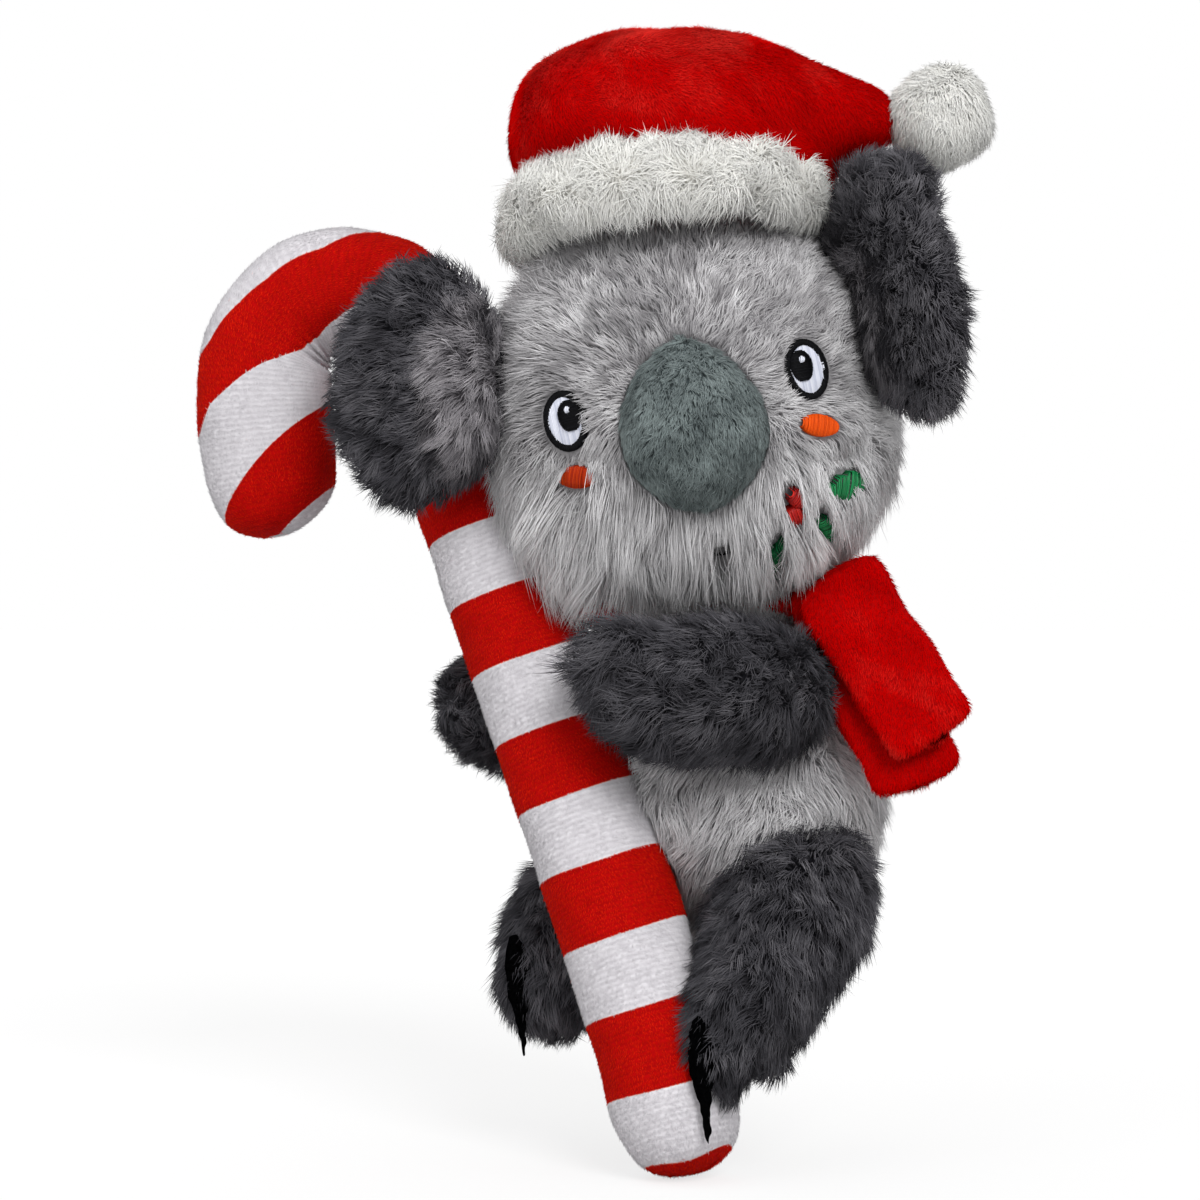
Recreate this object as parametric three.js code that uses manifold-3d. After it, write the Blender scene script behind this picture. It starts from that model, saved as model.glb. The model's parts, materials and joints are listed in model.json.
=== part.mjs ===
// A plush koala that hugs a cane: stuffed torso, head, ears and limbs, a hat with a pompom and a scarf.
// Millimetres, +Z up; the face looks along -Y. Left and right are the koala's own, so its left is on +X.
// The fur isn't modelled: each furred form is drawn halfway up its pile.
import * as THREE from "three";
import { mergeVertices } from "three/addons/utils/BufferGeometryUtils.js";
import Module from "manifold-3d";

const wasm = await Module();
wasm.setup();

// Fits
const GAP = 0.3; // between pieces that are sewn or pressed together
const SWING_GAP = 0.5; // between pieces that move on each other
const SOCKET_GAP = 0.8; // round a limb's ball in its socket
const SWING_STEP = 15; // degrees between the cuts that keep a swing clear
const HEAD_STEP = 5; // the same for the head, which is far from its pivot and close to the cane
const FLAT_DEPTH = 1.5; // how deep the back is cut flat
const OVERRUN = 200; // how far a cutting block runs past what it cuts

// Torso
const TORSO_BASE = 55; // height of its underside over the cane's foot
const TORSO_HEIGHT = 97;
const TORSO_WIDTH = 80;
const TORSO_DEPTH = 68;
const TORSO_LEAN = 5; // how far the neck stands to the koala's right of the seat
const TORSO_SWELL_SHARES = [0.96, 1, 0.99, 0.92, 0.8, 0.66];

// Head
const HEAD_HEIGHT = 113;
const HEAD_WIDTH = 106;
const HEAD_DEPTH = 88;
const HEAD_TILT = 12; // degrees, towards its right shoulder
const HEAD_SINK = 6; // how deep the neck runs into the head
const HEAD_SIDE = 5; // its chin to the left of the torso's middle
const HEAD_SWELL_SHARES = [0.98, 1.01, 1, 0.97, 0.9, 0.8];
const HEAD_TURN = 15; // degrees

// Nose
const NOSE_HEIGHT = 46;
const NOSE_WIDTH = 38;
const NOSE_DEPTH = 32;
const NOSE_PROUD = 16; // how far it stands out of the face
const NOSE_LOW = 10.5; // its middle under the head's middle
const NOSE_TILT = 9;
const NOSE_SWELL_SHARES = [0.92, 1, 1, 0.88, 0.68];

// Embroidered face
const STITCH = 0.7; // thickness of one layer of satin stitch
const EYE_HEIGHT = 15.5;
const EYE_WIDTH = 11;
const EYE_SPACING = 62.3;
const EYE_RIM = 1.4; // black ring round the white
const EYE_LOW = 2.5; // eyes under the head's middle
const EYE_SIDE = 2; // middle of the eyes to the right of the head's middle
const PUPIL_HEIGHT = 8;
const PUPIL_WIDTH = 6;
const PUPIL_INWARD = 1.4; // towards the nose
const PUPIL_HIGH = 1;
const GLINT_SIZE = 1.6;
const CHEEK_HEIGHT = 5.6;
const CHEEK_WIDTH = 9.5;
const CHEEK_DROP = 14.5; // under the eye's middle
const MOUTH_WIDTH = 10;
const MOUTH_DROP = 8; // under the nose's lowest point
const MOUTH_SIDE = 2; // to the left of it
const MOUTH_THICKNESS = 1.3;

// Holly on the left cheek
const LEAF_LENGTH = 13;
const LEAF_WIDTH = 6;
const BERRY_SIZE = 4.4;
const HOLLY_DROP = 33; // under the left eye's middle
const HOLLY_INWARD = 9.5; // from the left eye's middle towards the nose
const LEAF_ANGLES = [22, -30, -104]; // degrees from level, as seen from the front
const LEAF_REACHES = [7.5, 5.5, 7]; // from the berries to each leaf's near end
const BERRY_ANGLES = [100, 250];

// Ears
const RIGHT_EAR_HEIGHT = 62;
const LEFT_EAR_HEIGHT = 67;
const EAR_WIDTH = 43;
const EAR_THICKNESS = 15;
const EAR_SINK = 3; // how far an ear's edge would reach past its sewn line
const EAR_SWELL_SHARES = [0.9, 1, 1, 0.96, 0.84];
const LINING = 1; // thickness of the lining cloth
const LINING_HEIGHT = 44;
const LINING_WIDTH = 20;
const LINING_ASIDE = 7.5; // its middle from the ear's, towards the sewn edge
const RIGHT_EAR_FORWARD = 18; // its sewn line, in front of the head's middle
const RIGHT_EAR_LEAN = 6; // degrees
const RIGHT_EAR_RISE = 1;
const RIGHT_EAR_INSET = 5; // its sewn line, inside the head's widest line
const LEFT_EAR_FORWARD = 9;
const LEFT_EAR_FOLD = 65; // degrees that it is folded forward
const LEFT_EAR_LEAN = 26;
const LEFT_EAR_RISE = 26;
const LEFT_EAR_INSET = 6;
const EAR_SWING = 30; // degrees

// Hat
const CUFF_WIDTH = 88; // across the ring, outside
const CUFF_DEPTH = 86;
const CUFF_HEIGHT = 17;
const CUFF_THICKNESS = 13;
const CUFF_SHARE = 0.93; // its place up the head's spine
const CUFF_SIDE = 4;
const CUFF_FORWARD = 2;
const CUFF_TILT = 5; // degrees, in the picture's plane
const CUFF_PITCH = 9; // degrees, front edge up
const CROWN_HEIGHT = 49; // over the cuff's middle
const CROWN_WIDTH = 88;
const CROWN_DEPTH = 80;
const CROWN_SKIRT = 6; // how far the crown runs down inside the cuff
const CROWN_LEAN = 11; // top to the left of the cuff's middle
const CROWN_SWELL_SHARES = [0.93, 1, 1, 0.96, 0.9];
const TAIL_REACH = 64; // from the cuff's middle to the hat's tip
const TAIL_WIDTH = 52; // where the tail leaves the crown
const TAIL_ROUTE_SHARES = [
  [0.1, -0.02, 0.32],
  [0.34, -0.03, 0.36],
  [0.55, -0.05, 0.37],
  [0.8, -0.06, 0.385],
  [1, -0.06, 0.345],
];
const TAIL_SWELL_SHARES = [1, 0.98, 0.86, 0.62, 0.44, 0.32];
const POMPOM_DIAMETER = 24;
const POMPOM_SINK = 3.5; // how far the hat's tip runs into it
const POMPOM_RISE = 3; // its middle over the hat's tip
const POMPOM_SWING = 25; // degrees

// Limbs
const BALL_DIAMETER = 21; // rounded root of a limb, sewn into the torso
const ARM_LENGTH = 72;
const ARM_WIDTH = 35;
const ARM_DEPTH = 28;
const ARM_SWELL_SHARES = [0.62, 0.84, 0.98, 1, 0.96, 0.88];
const LEFT_SHOULDER_SHARES = [0.6, -0.36, 0.68]; // of the half width, half depth and height of the torso
const RIGHT_SHOULDER_SHARES = [-0.68, 0.42, 0.66];
const LEFT_ARM_ROUTE_SHARES = [
  [0, 0, 0],
  [-0.1, -0.27, 0.01],
  [-0.4, -0.47, 0.03],
  [-0.8, -0.52, 0.01],
];
const RIGHT_ARM_ROUTE_SHARES = [
  [0, 0, 0],
  [-0.25, 0.06, -0.01],
  [-0.45, 0.02, -0.04],
  [-0.52, -0.18, -0.07],
];
const LEFT_ARM_SWING = 25;
const RIGHT_ARM_SWING = 35;
const LEG_LENGTH = 78;
const LEG_WIDTH = 40;
const LEG_DEPTH = 36;
const LEG_SWELL_SHARES = [0.8, 1, 1, 0.9, 0.8];
const LEFT_HIP_SHARES = [0.7, -0.26, 0.22];
const RIGHT_HIP_SHARES = [-0.68, 0.22, 0.19];
const LEFT_LEG_ROUTE_SHARES = [
  [0.02, 0.02, 0.09],
  [-0.09, -0.24, -0.12],
  [-0.18, -0.41, -0.36],
  [-0.33, -0.54, -0.59],
  [-0.37, -0.56, -0.78],
];
const RIGHT_LEG_ROUTE_SHARES = [
  [0.02, 0, 0.06],
  [-0.06, -0.05, -0.16],
  [-0.13, -0.13, -0.32],
  [-0.19, -0.18, -0.45],
  [-0.2, -0.21, -0.56],
];
const LEG_SWING = 30;

// Claws
const CLAW_LENGTH = 32;
const CLAW_WIDTH = 6.4;
const CLAW_DEPTH = 4.4;
const CLAW_SLOPE = 0.08; // its tip to the left, as a share of its length
const CLAW_SWELL_SHARES = [0.8, 1, 1, 0.95, 0.5, 0.32, 0.3];
// Claws from the foot, in shares of the half width, half depth and length of the leg
const LEFT_CLAW_SHARES = [-0.24, -0.62, -0.34];
const RIGHT_CLAW_SHARES = [-0.5, -0.5, -0.36];

// Scarf
const SCARF_THICKNESS = 7;
const SCARF_BAND_WIDTH = 82; // across the ring, outside
const SCARF_BAND_DEPTH = 70;
const SCARF_BAND_HEIGHT = 13;
const SCARF_BAND_LOW = 6.5; // its middle under the top of the torso
const SCARF_TAIL_WIDTH = 25.5;
const UPPER_TAIL_LENGTH = 53;
const LOWER_TAIL_LENGTH = 62;
const UPPER_TAIL_LEAN = 33; // degrees from upright
const LOWER_TAIL_LEAN = 23;
const SCARF_TAIL_SLANT = 12; // degrees forward
const SCARF_KNOT_ANGLE = 40; // degrees round the neck, from the koala's left towards the front
const SCARF_KNOT_RISE = 8; // where the tails start, over the band's middle
const SCARF_TAIL_LIFT = 35; // degrees

// Cane
const CANE_HEIGHT = 247;
const CANE_DIAMETER = 34.5;
const HOOK_GAP = 13; // free space between the tip and the stem
const HOOK_DROP = 43; // from the middle of the bend to the tip's end
const HOOK_TOE_IN = 5; // how far the tip's end turns towards the stem
const CANE_LEAN = 19.2; // degrees, as seen from the front
const CANE_SLANT = 17.5; // degrees, foot forward
const CANE_PRESS = 19.5; // how deep it presses into the torso's side
const CANE_PRESS_SHARE = 0.46; // at this height of the torso
const CANE_FOOT_BEND = 3.5; // the foot turns back under the stem by this
const CANE_FOOT_SHARE = 0.7; // where on the stem that bend starts

// Fineness of the solids, in steps along a form and sides round it
const BODY_STEPS = 12;
const BODY_SIDES = 20;
const LIMB_STEPS = 9;
const LIMB_SIDES = 12;
const SMALL_STEPS = 10;
const SMALL_SIDES = 10;
const RING_STEPS = 26;
const CANE_STEPS = 34;

const UP = new THREE.Vector3(0, 0, 1);
const BACKWARD = new THREE.Vector3(0, 1, 0);
const FORWARD = new THREE.Vector3(0, -1, 0);
const RIGHTWARD = new THREE.Vector3(-1, 0, 0);
const backPlane = TORSO_DEPTH / 2 - FLAT_DEPTH;
const radians = THREE.MathUtils.degToRad;

// Solids from geometry, and back

function toSolid(geometry) {
  const bare = new THREE.BufferGeometry();
  bare.setAttribute("position", geometry.getAttribute("position"));
  bare.setIndex(geometry.index);
  const merged = mergeVertices(bare, 1e-4);
  return new wasm.Manifold(
    new wasm.Mesh({
      numProp: 3,
      vertProperties: merged.attributes.position.array,
      triVerts: new Uint32Array(merged.index.array),
    }),
  );
}

function toGeometry(solid) {
  const mesh = solid.getMesh();
  const geometry = new THREE.BufferGeometry();
  geometry.setAttribute("position", new THREE.BufferAttribute(mesh.vertProperties, mesh.numProp));
  geometry.setIndex(new THREE.BufferAttribute(mesh.triVerts, 1));
  geometry.computeVertexNormals();
  return geometry;
}

// The largest body of a cut solid, without the slivers that a cut leaves loose
function mainBody(solid) {
  const bodies = solid.decompose();
  return bodies.sort((a, b) => b.volume() - a.volume())[0];
}

// A solid turned about a swing's pivot by some degrees
function turned(solid, swing, degrees) {
  const matrix = new THREE.Matrix4()
    .makeTranslation(swing.pivot)
    .multiply(new THREE.Matrix4().makeRotationAxis(swing.axis, radians(degrees)))
    .multiply(new THREE.Matrix4().makeTranslation(swing.pivot.clone().negate()));
  return toSolid(toGeometry(solid).applyMatrix4(matrix));
}

function swingAngles(swing) {
  const count = Math.ceil(swing.range / (swing.step ?? SWING_STEP));
  return Array.from({ length: count + 1 }, (_, i) => (swing.range * i) / count);
}

// All the room that a solid takes as it swings
function sweptBy(solid, swing) {
  return swingAngles(swing)
    .map((angle) => turned(solid, swing, angle))
    .reduce((all, one) => all.add(one));
}

// What is left of a piece once its whole swing is clear of an obstacle that stays
function clearedFor(piece, swing, obstacle) {
  const rooms = swingAngles(swing).map((angle) => turned(obstacle, swing, -angle));
  return mainBody(rooms.reduce((left, room) => left.subtract(room), piece));
}

// A stuffed form: oval rings along a smooth spine, drawn to a point at both ends.
// swell gives the share of the full width at even steps along the spine, blunt how squarely the two
// ends close (2 is an egg's), and square how boxy a ring is (2 is an oval).
function stuffed(form, grow = 0) {
  const { spine, width, depth, swell, blunt = [2, 2], square = 2 } = form;
  const { steps = LIMB_STEPS, sides = LIMB_SIDES } = form;
  const curve = new THREE.CatmullRomCurve3(spine, false, "centripetal");
  const swellCurve = new THREE.SplineCurve(swell.map((share, i) => new THREE.Vector2(i, share)));
  const points = [];
  const faces = [];
  const rounded = (value) => Math.sign(value) * Math.abs(value) ** (2 / square);
  for (let i = 1; i < steps; i++) {
    const t = (1 - Math.cos((Math.PI * i) / steps)) / 2;
    const end = THREE.MathUtils.lerp(blunt[0], blunt[1], t);
    const size = swellCurve.getPoint(t).y * Math.sqrt(1 - Math.abs(2 * t - 1) ** end);
    const tangent = curve.getTangentAt(t);
    const side = new THREE.Vector3().crossVectors(BACKWARD, tangent).normalize();
    const back = new THREE.Vector3().crossVectors(tangent, side);
    const centre = curve.getPointAt(t).addScaledVector(tangent, grow * (2 * t - 1));
    for (let j = 0; j < sides; j++) {
      const angle = (2 * Math.PI * j) / sides;
      const point = centre
        .clone()
        .addScaledVector(side, rounded(Math.cos(angle)) * ((width / 2) * size + grow))
        .addScaledVector(back, rounded(Math.sin(angle)) * ((depth / 2) * size + grow));
      points.push(point);
    }
  }
  const first = points.length;
  points.push(curve.getPointAt(0).addScaledVector(curve.getTangentAt(0), -grow));
  points.push(curve.getPointAt(1).addScaledVector(curve.getTangentAt(1), grow));
  const lastRing = (steps - 2) * sides;
  for (let j = 0; j < sides; j++) {
    const next = (j + 1) % sides;
    faces.push(first, next, j);
    faces.push(first + 1, lastRing + j, lastRing + next);
    for (let ring = 0; ring < lastRing; ring += sides) {
      faces.push(ring + j, ring + next, ring + sides + next);
      faces.push(ring + j, ring + sides + next, ring + sides + j);
    }
  }
  const geometry = new THREE.BufferGeometry().setFromPoints(points);
  geometry.setIndex(faces);
  return toSolid(geometry);
}

// A soft ring, sized outside, about its own middle
function ring({ width, depth, height, thickness }, grow = 0) {
  const across = (width - thickness) / 2;
  const geometry = new THREE.TorusGeometry(across, thickness / 2 + grow, SMALL_SIDES, RING_STEPS);
  const flatten = (height / 2 + grow) / (thickness / 2 + grow);
  return geometry.scale(1, (depth - thickness) / (width - thickness), flatten);
}

function ball(centre, diameter, grow = 0) {
  const geometry = new THREE.SphereGeometry(diameter / 2 + grow, LIMB_SIDES, LIMB_STEPS);
  return toSolid(geometry.translate(centre.x, centre.y, centre.z));
}

// A block that takes away all that lies behind the plane that the koala's back rests on
function behindTheBack() {
  const block = new THREE.BoxGeometry(2 * OVERRUN, OVERRUN, 4 * OVERRUN);
  return toSolid(block.translate(0, backPlane + OVERRUN / 2, 0));
}

// A point given in shares of three sizes, from a starting point
function placed(start, shares, [x, y, z]) {
  return start.clone().add(new THREE.Vector3(shares[0] * x, shares[1] * y, shares[2] * z));
}

function route(start, table, length) {
  return table.map((shares) => placed(start, shares, [length, length, length]));
}

// Where things are

const seat = new THREE.Vector3(TORSO_LEAN / 2, 0, TORSO_BASE);
const neck = new THREE.Vector3(-TORSO_LEAN / 2, 0, TORSO_BASE + TORSO_HEIGHT);
const headUp = new THREE.Vector3(-Math.sin(radians(HEAD_TILT)), 0, Math.cos(radians(HEAD_TILT)));
const chin = new THREE.Vector3(HEAD_SIDE, backPlane + FLAT_DEPTH - HEAD_DEPTH / 2, neck.z - HEAD_SINK);
const headTop = chin.clone().addScaledVector(headUp, HEAD_HEIGHT);
const headMiddle = chin.clone().lerp(headTop, 1 / 2);
const headLeft = new THREE.Vector3().crossVectors(BACKWARD, headUp);

const torsoHalves = [TORSO_WIDTH / 2, TORSO_DEPTH / 2, TORSO_HEIGHT];
const torsoFoot = new THREE.Vector3(0, 0, TORSO_BASE);
const leftShoulder = placed(torsoFoot, LEFT_SHOULDER_SHARES, torsoHalves);
const rightShoulder = placed(torsoFoot, RIGHT_SHOULDER_SHARES, torsoHalves);
const leftHip = placed(torsoFoot, LEFT_HIP_SHARES, torsoHalves);
const rightHip = placed(torsoFoot, RIGHT_HIP_SHARES, torsoHalves);

const cuffUp = new THREE.Vector3(-Math.sin(radians(CUFF_TILT)), Math.sin(radians(CUFF_PITCH)), 1).normalize();

// A point of the face, as seen from the front: so far to the koala's left of the head's middle and up
function onFace(left, up) {
  return headMiddle.clone().addScaledVector(headLeft, left).addScaledVector(headUp, up);
}

const cuffMiddle = chin
  .clone()
  .lerp(headTop, CUFF_SHARE)
  .add(new THREE.Vector3(CUFF_SIDE, -CUFF_FORWARD, 0));
const tailRoute = route(cuffMiddle, TAIL_ROUTE_SHARES, TAIL_REACH);
const hatTip = tailRoute[tailRoute.length - 1];
const pompomMiddle = hatTip
  .clone()
  .add(new THREE.Vector3(POMPOM_DIAMETER / 2 - POMPOM_SINK, 0, POMPOM_RISE));

const rightEarRoot = headMiddle
  .clone()
  .add(new THREE.Vector3(RIGHT_EAR_INSET - HEAD_WIDTH / 2, -RIGHT_EAR_FORWARD, RIGHT_EAR_RISE));
const leftEarRoot = headMiddle
  .clone()
  .add(new THREE.Vector3(HEAD_WIDTH / 2 - LEFT_EAR_INSET, -LEFT_EAR_FORWARD, LEFT_EAR_RISE));

const scarfMiddle = new THREE.Vector3(neck.x, 0, neck.z - SCARF_BAND_LOW);
const knotAngle = radians(SCARF_KNOT_ANGLE);
const scarfKnot = scarfMiddle
  .clone()
  .add(
    new THREE.Vector3(
      (SCARF_BAND_WIDTH / 2) * Math.cos(knotAngle),
      -(SCARF_BAND_DEPTH / 2 + SCARF_THICKNESS / 2) * Math.sin(knotAngle),
      SCARF_KNOT_RISE,
    ),
  );
const upperKnot = scarfKnot.clone().addScaledVector(FORWARD, SCARF_THICKNESS + GAP);

// How the koala moves: each swing turns its piece by the right hand about the axis, from 0 to the range

const swings = {
  head_turn: { pivot: neck.clone(), axis: UP, range: HEAD_TURN, step: HEAD_STEP },
  ear_right_fold: { pivot: rightEarRoot.clone(), axis: UP, range: EAR_SWING },
  ear_left_fold: { pivot: leftEarRoot.clone(), axis: UP, range: EAR_SWING },
  pompom_swing: { pivot: hatTip.clone(), axis: FORWARD, range: POMPOM_SWING },
  arm_left_swing: { pivot: leftShoulder, axis: UP, range: LEFT_ARM_SWING },
  arm_right_swing: { pivot: rightShoulder, axis: UP.clone().negate(), range: RIGHT_ARM_SWING },
  leg_left_swing: { pivot: leftHip, axis: FORWARD, range: LEG_SWING },
  leg_right_swing: { pivot: rightHip, axis: BACKWARD, range: LEG_SWING },
  scarf_lower_lift: { pivot: scarfKnot.clone(), axis: RIGHTWARD, range: SCARF_TAIL_LIFT },
  scarf_upper_lift: { pivot: upperKnot.clone(), axis: RIGHTWARD, range: SCARF_TAIL_LIFT },
};

// The forms, before they are cut to each other

const torsoForm = {
  spine: [seat, seat.clone().lerp(neck, 1 / 2), neck],
  width: TORSO_WIDTH,
  depth: TORSO_DEPTH,
  swell: TORSO_SWELL_SHARES,
  blunt: [2.6, 3],
  steps: BODY_STEPS,
  sides: BODY_SIDES,
};

const headForm = {
  spine: [chin, headMiddle, headTop],
  width: HEAD_WIDTH,
  depth: HEAD_DEPTH,
  swell: HEAD_SWELL_SHARES,
  blunt: [2.8, 2.3],
  steps: BODY_STEPS,
  sides: BODY_SIDES,
};

function limbForm(spine, [width, depth], swell) {
  return { spine, width, depth, swell, blunt: [4, 3] };
}

function armForm(shoulder, table) {
  return limbForm(route(shoulder, table, ARM_LENGTH), [ARM_WIDTH, ARM_DEPTH], ARM_SWELL_SHARES);
}

function legForm(hip, table) {
  return limbForm(route(hip, table, LEG_LENGTH), [LEG_WIDTH, LEG_DEPTH], LEG_SWELL_SHARES);
}

const leftArmForm = armForm(leftShoulder, LEFT_ARM_ROUTE_SHARES);
const rightArmForm = armForm(rightShoulder, RIGHT_ARM_ROUTE_SHARES);
const leftLegForm = legForm(leftHip, LEFT_LEG_ROUTE_SHARES);
const rightLegForm = legForm(rightHip, RIGHT_LEG_ROUTE_SHARES);

// The cane: the tip hangs from the left of a round bend, and the stem runs from the right of it,
// down across the koala's chest and forward to the foot.
const caneRadius = CANE_DIAMETER / 2;
const hookRadius = (CANE_DIAMETER + HOOK_GAP) / 2;
const leanSlope = Math.tan(radians(CANE_LEAN));
const slantSlope = Math.tan(radians(CANE_SLANT));
const pressHeight = TORSO_BASE + CANE_PRESS_SHARE * TORSO_HEIGHT;
const hookHeight = CANE_HEIGHT - caneRadius - hookRadius;
const stemTopHeight = hookHeight + hookRadius * Math.sin(radians(CANE_LEAN));
const stemTop = new THREE.Vector3(
  -(TORSO_WIDTH / 2 + caneRadius - CANE_PRESS) - (stemTopHeight - pressHeight) * leanSlope,
  backPlane + FLAT_DEPTH - caneRadius,
  stemTopHeight,
);
const hookMiddle = new THREE.Vector3(
  stemTop.x - hookRadius * Math.cos(radians(CANE_LEAN)),
  stemTop.y,
  hookHeight,
);

function canePath() {
  const points = [
    new THREE.Vector3(hookMiddle.x - hookRadius + HOOK_TOE_IN, stemTop.y, hookHeight - HOOK_DROP),
    new THREE.Vector3(hookMiddle.x - hookRadius + HOOK_TOE_IN / 4, stemTop.y, hookHeight - HOOK_DROP / 2),
  ];
  const bends = 7;
  for (let i = 0; i <= bends; i++) {
    const angle = Math.PI - ((Math.PI - radians(CANE_LEAN)) * i) / bends;
    const x = hookMiddle.x + hookRadius * Math.cos(angle);
    points.push(new THREE.Vector3(x, stemTop.y, hookHeight + hookRadius * Math.sin(angle)));
  }
  const stretches = 6;
  for (let i = 1; i <= stretches; i++) {
    const share = i / stretches;
    const drop = stemTopHeight * share;
    const bend = CANE_FOOT_BEND * Math.max(0, (share - CANE_FOOT_SHARE) / (1 - CANE_FOOT_SHARE)) ** 2;
    const x = stemTop.x + drop * leanSlope - bend;
    points.push(new THREE.Vector3(x, stemTop.y - drop * slantSlope, stemTopHeight - drop));
  }
  return points;
}

const caneForm = {
  spine: canePath(),
  width: CANE_DIAMETER,
  depth: CANE_DIAMETER,
  swell: [1, 1],
  blunt: [26, 26],
  steps: CANE_STEPS,
  sides: LIMB_SIDES,
};

// The head's solid, and the face sewn on it

// One layer of stitches over the face: an outline seen from the front, laid on the curved head
function stitched(shape, centre, layer) {
  const low = GAP + layer * (STITCH + GAP);
  const outline = new THREE.ExtrudeGeometry(shape, {
    depth: HEAD_DEPTH,
    bevelEnabled: false,
    curveSegments: SMALL_SIDES,
  });
  outline.rotateX(Math.PI / 2).translate(centre.x, headMiddle.y, centre.z);
  const shell = stuffed(headForm, low + STITCH).subtract(stuffed(headForm, low));
  return mainBody(toSolid(outline).intersect(shell));
}

function oval(width, height, degrees = 0) {
  return new THREE.Shape().absellipse(0, 0, width / 2, height / 2, 0, 2 * Math.PI, false, radians(degrees));
}

const eyeMiddle = onFace(-EYE_SIDE, -EYE_LOW);
const leftEye = eyeMiddle.clone().addScaledVector(headLeft, EYE_SPACING / 2);
const rightEye = eyeMiddle.clone().addScaledVector(headLeft, -EYE_SPACING / 2);

function eyeLayers(centre, inward) {
  const pupil = centre
    .clone()
    .addScaledVector(headLeft, inward * PUPIL_INWARD)
    .addScaledVector(headUp, PUPIL_HIGH);
  const glint = pupil.clone().addScaledVector(headUp, PUPIL_HEIGHT / 4);
  return {
    ring: stitched(oval(EYE_WIDTH, EYE_HEIGHT, HEAD_TILT), centre, 0),
    white: stitched(oval(EYE_WIDTH - 2 * EYE_RIM, EYE_HEIGHT - 2 * EYE_RIM, HEAD_TILT), centre, 1),
    pupil: stitched(oval(PUPIL_WIDTH, PUPIL_HEIGHT, HEAD_TILT), pupil, 2),
    glint: stitched(oval(GLINT_SIZE, GLINT_SIZE), glint, 3),
  };
}

function cheek(eye) {
  const centre = eye.clone().addScaledVector(headUp, -CHEEK_DROP);
  return stitched(oval(CHEEK_WIDTH, CHEEK_HEIGHT), centre, 0);
}

const noseMiddle = new THREE.Vector3(
  headMiddle.x,
  headMiddle.y - HEAD_DEPTH / 2 - NOSE_PROUD + NOSE_DEPTH / 2,
  headMiddle.z - NOSE_LOW,
);
const noseUp = new THREE.Vector3(-Math.sin(radians(NOSE_TILT)), 0, Math.cos(radians(NOSE_TILT)));
const noseFoot = noseMiddle.clone().addScaledVector(noseUp, -NOSE_HEIGHT / 2);

const noseForm = {
  spine: [noseFoot, noseMiddle, noseMiddle.clone().addScaledVector(noseUp, NOSE_HEIGHT / 2)],
  width: NOSE_WIDTH,
  depth: NOSE_DEPTH,
  swell: NOSE_SWELL_SHARES,
  blunt: [2.2, 2.4],
  sides: BODY_SIDES,
};

// The mouth: a thin smile under the nose
function mouth() {
  const half = MOUTH_WIDTH / 2;
  const shape = new THREE.Shape();
  shape.moveTo(-half, 0);
  shape.quadraticCurveTo(0, -half, half, 0);
  shape.lineTo(half, MOUTH_THICKNESS);
  shape.quadraticCurveTo(0, MOUTH_THICKNESS - half, -half, MOUTH_THICKNESS);
  shape.closePath();
  const centre = noseFoot.clone().addScaledVector(headUp, -MOUTH_DROP).addScaledVector(headLeft, MOUTH_SIDE);
  return stitched(shape, centre, 0);
}

// A leaf from its stem end, at an angle from level
function leafShape() {
  const shape = new THREE.Shape();
  shape.moveTo(0, 0);
  shape.quadraticCurveTo(LEAF_LENGTH / 2, LEAF_WIDTH, LEAF_LENGTH, 0);
  shape.quadraticCurveTo(LEAF_LENGTH / 2, -LEAF_WIDTH, 0, 0);
  return shape;
}

const hollyMiddle = leftEye
  .clone()
  .addScaledVector(headUp, -HOLLY_DROP)
  .addScaledVector(headLeft, -HOLLY_INWARD);

function fromHolly(angle, reach) {
  const along = new THREE.Vector3(Math.cos(radians(angle)), 0, Math.sin(radians(angle)));
  return hollyMiddle.clone().addScaledVector(along, reach);
}

function hollyLeaf(angle, reach) {
  const points = leafShape()
    .getPoints(SMALL_SIDES / 2)
    .map((point) => point.rotateAround(new THREE.Vector2(0, 0), radians(angle)));
  const leaf = stitched(new THREE.Shape(points), fromHolly(angle, reach), 0);
  return clearedFor(leaf, swings.head_turn, bandSolid(SWING_GAP));
}

function hollyBerry(angle) {
  return stitched(oval(BERRY_SIZE, BERRY_SIZE), fromHolly(angle, (BERRY_SIZE + GAP) / 2), 0);
}

// Ears: one form, laid flat on the right and folded forward on the left

function earForm(middle, lean, height) {
  const up = new THREE.Vector3(Math.sin(radians(lean)), 0, Math.cos(radians(lean)));
  return {
    spine: [-1 / 2, 0, 1 / 2].map((share) => middle.clone().addScaledVector(up, share * height)),
    width: EAR_WIDTH,
    depth: EAR_THICKNESS,
    swell: EAR_SWELL_SHARES,
    blunt: [2.4, 2.4],
    square: 2.2,
    steps: LIMB_STEPS,
    sides: LIMB_SIDES,
  };
}

// The lining lies on the front of the ear, nearer to its sewn edge
function earLining(form, towardsHead) {
  const middle = form.spine[1];
  const outline = new THREE.ExtrudeGeometry(oval(LINING_WIDTH, LINING_HEIGHT), {
    depth: EAR_THICKNESS,
    bevelEnabled: false,
    curveSegments: SMALL_SIDES,
  });
  outline.rotateX(Math.PI / 2).translate(middle.x + towardsHead * LINING_ASIDE, middle.y, middle.z);
  return mainBody(toSolid(outline).intersect(stuffed(form, GAP + LINING)).subtract(stuffed(form, GAP)));
}

// The left ear is made flat beside its sewn edge and then folded forward about it
function foldedForward(solid) {
  return turned(solid, { pivot: leftEarRoot, axis: UP }, -LEFT_EAR_FOLD);
}

// Hat

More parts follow.
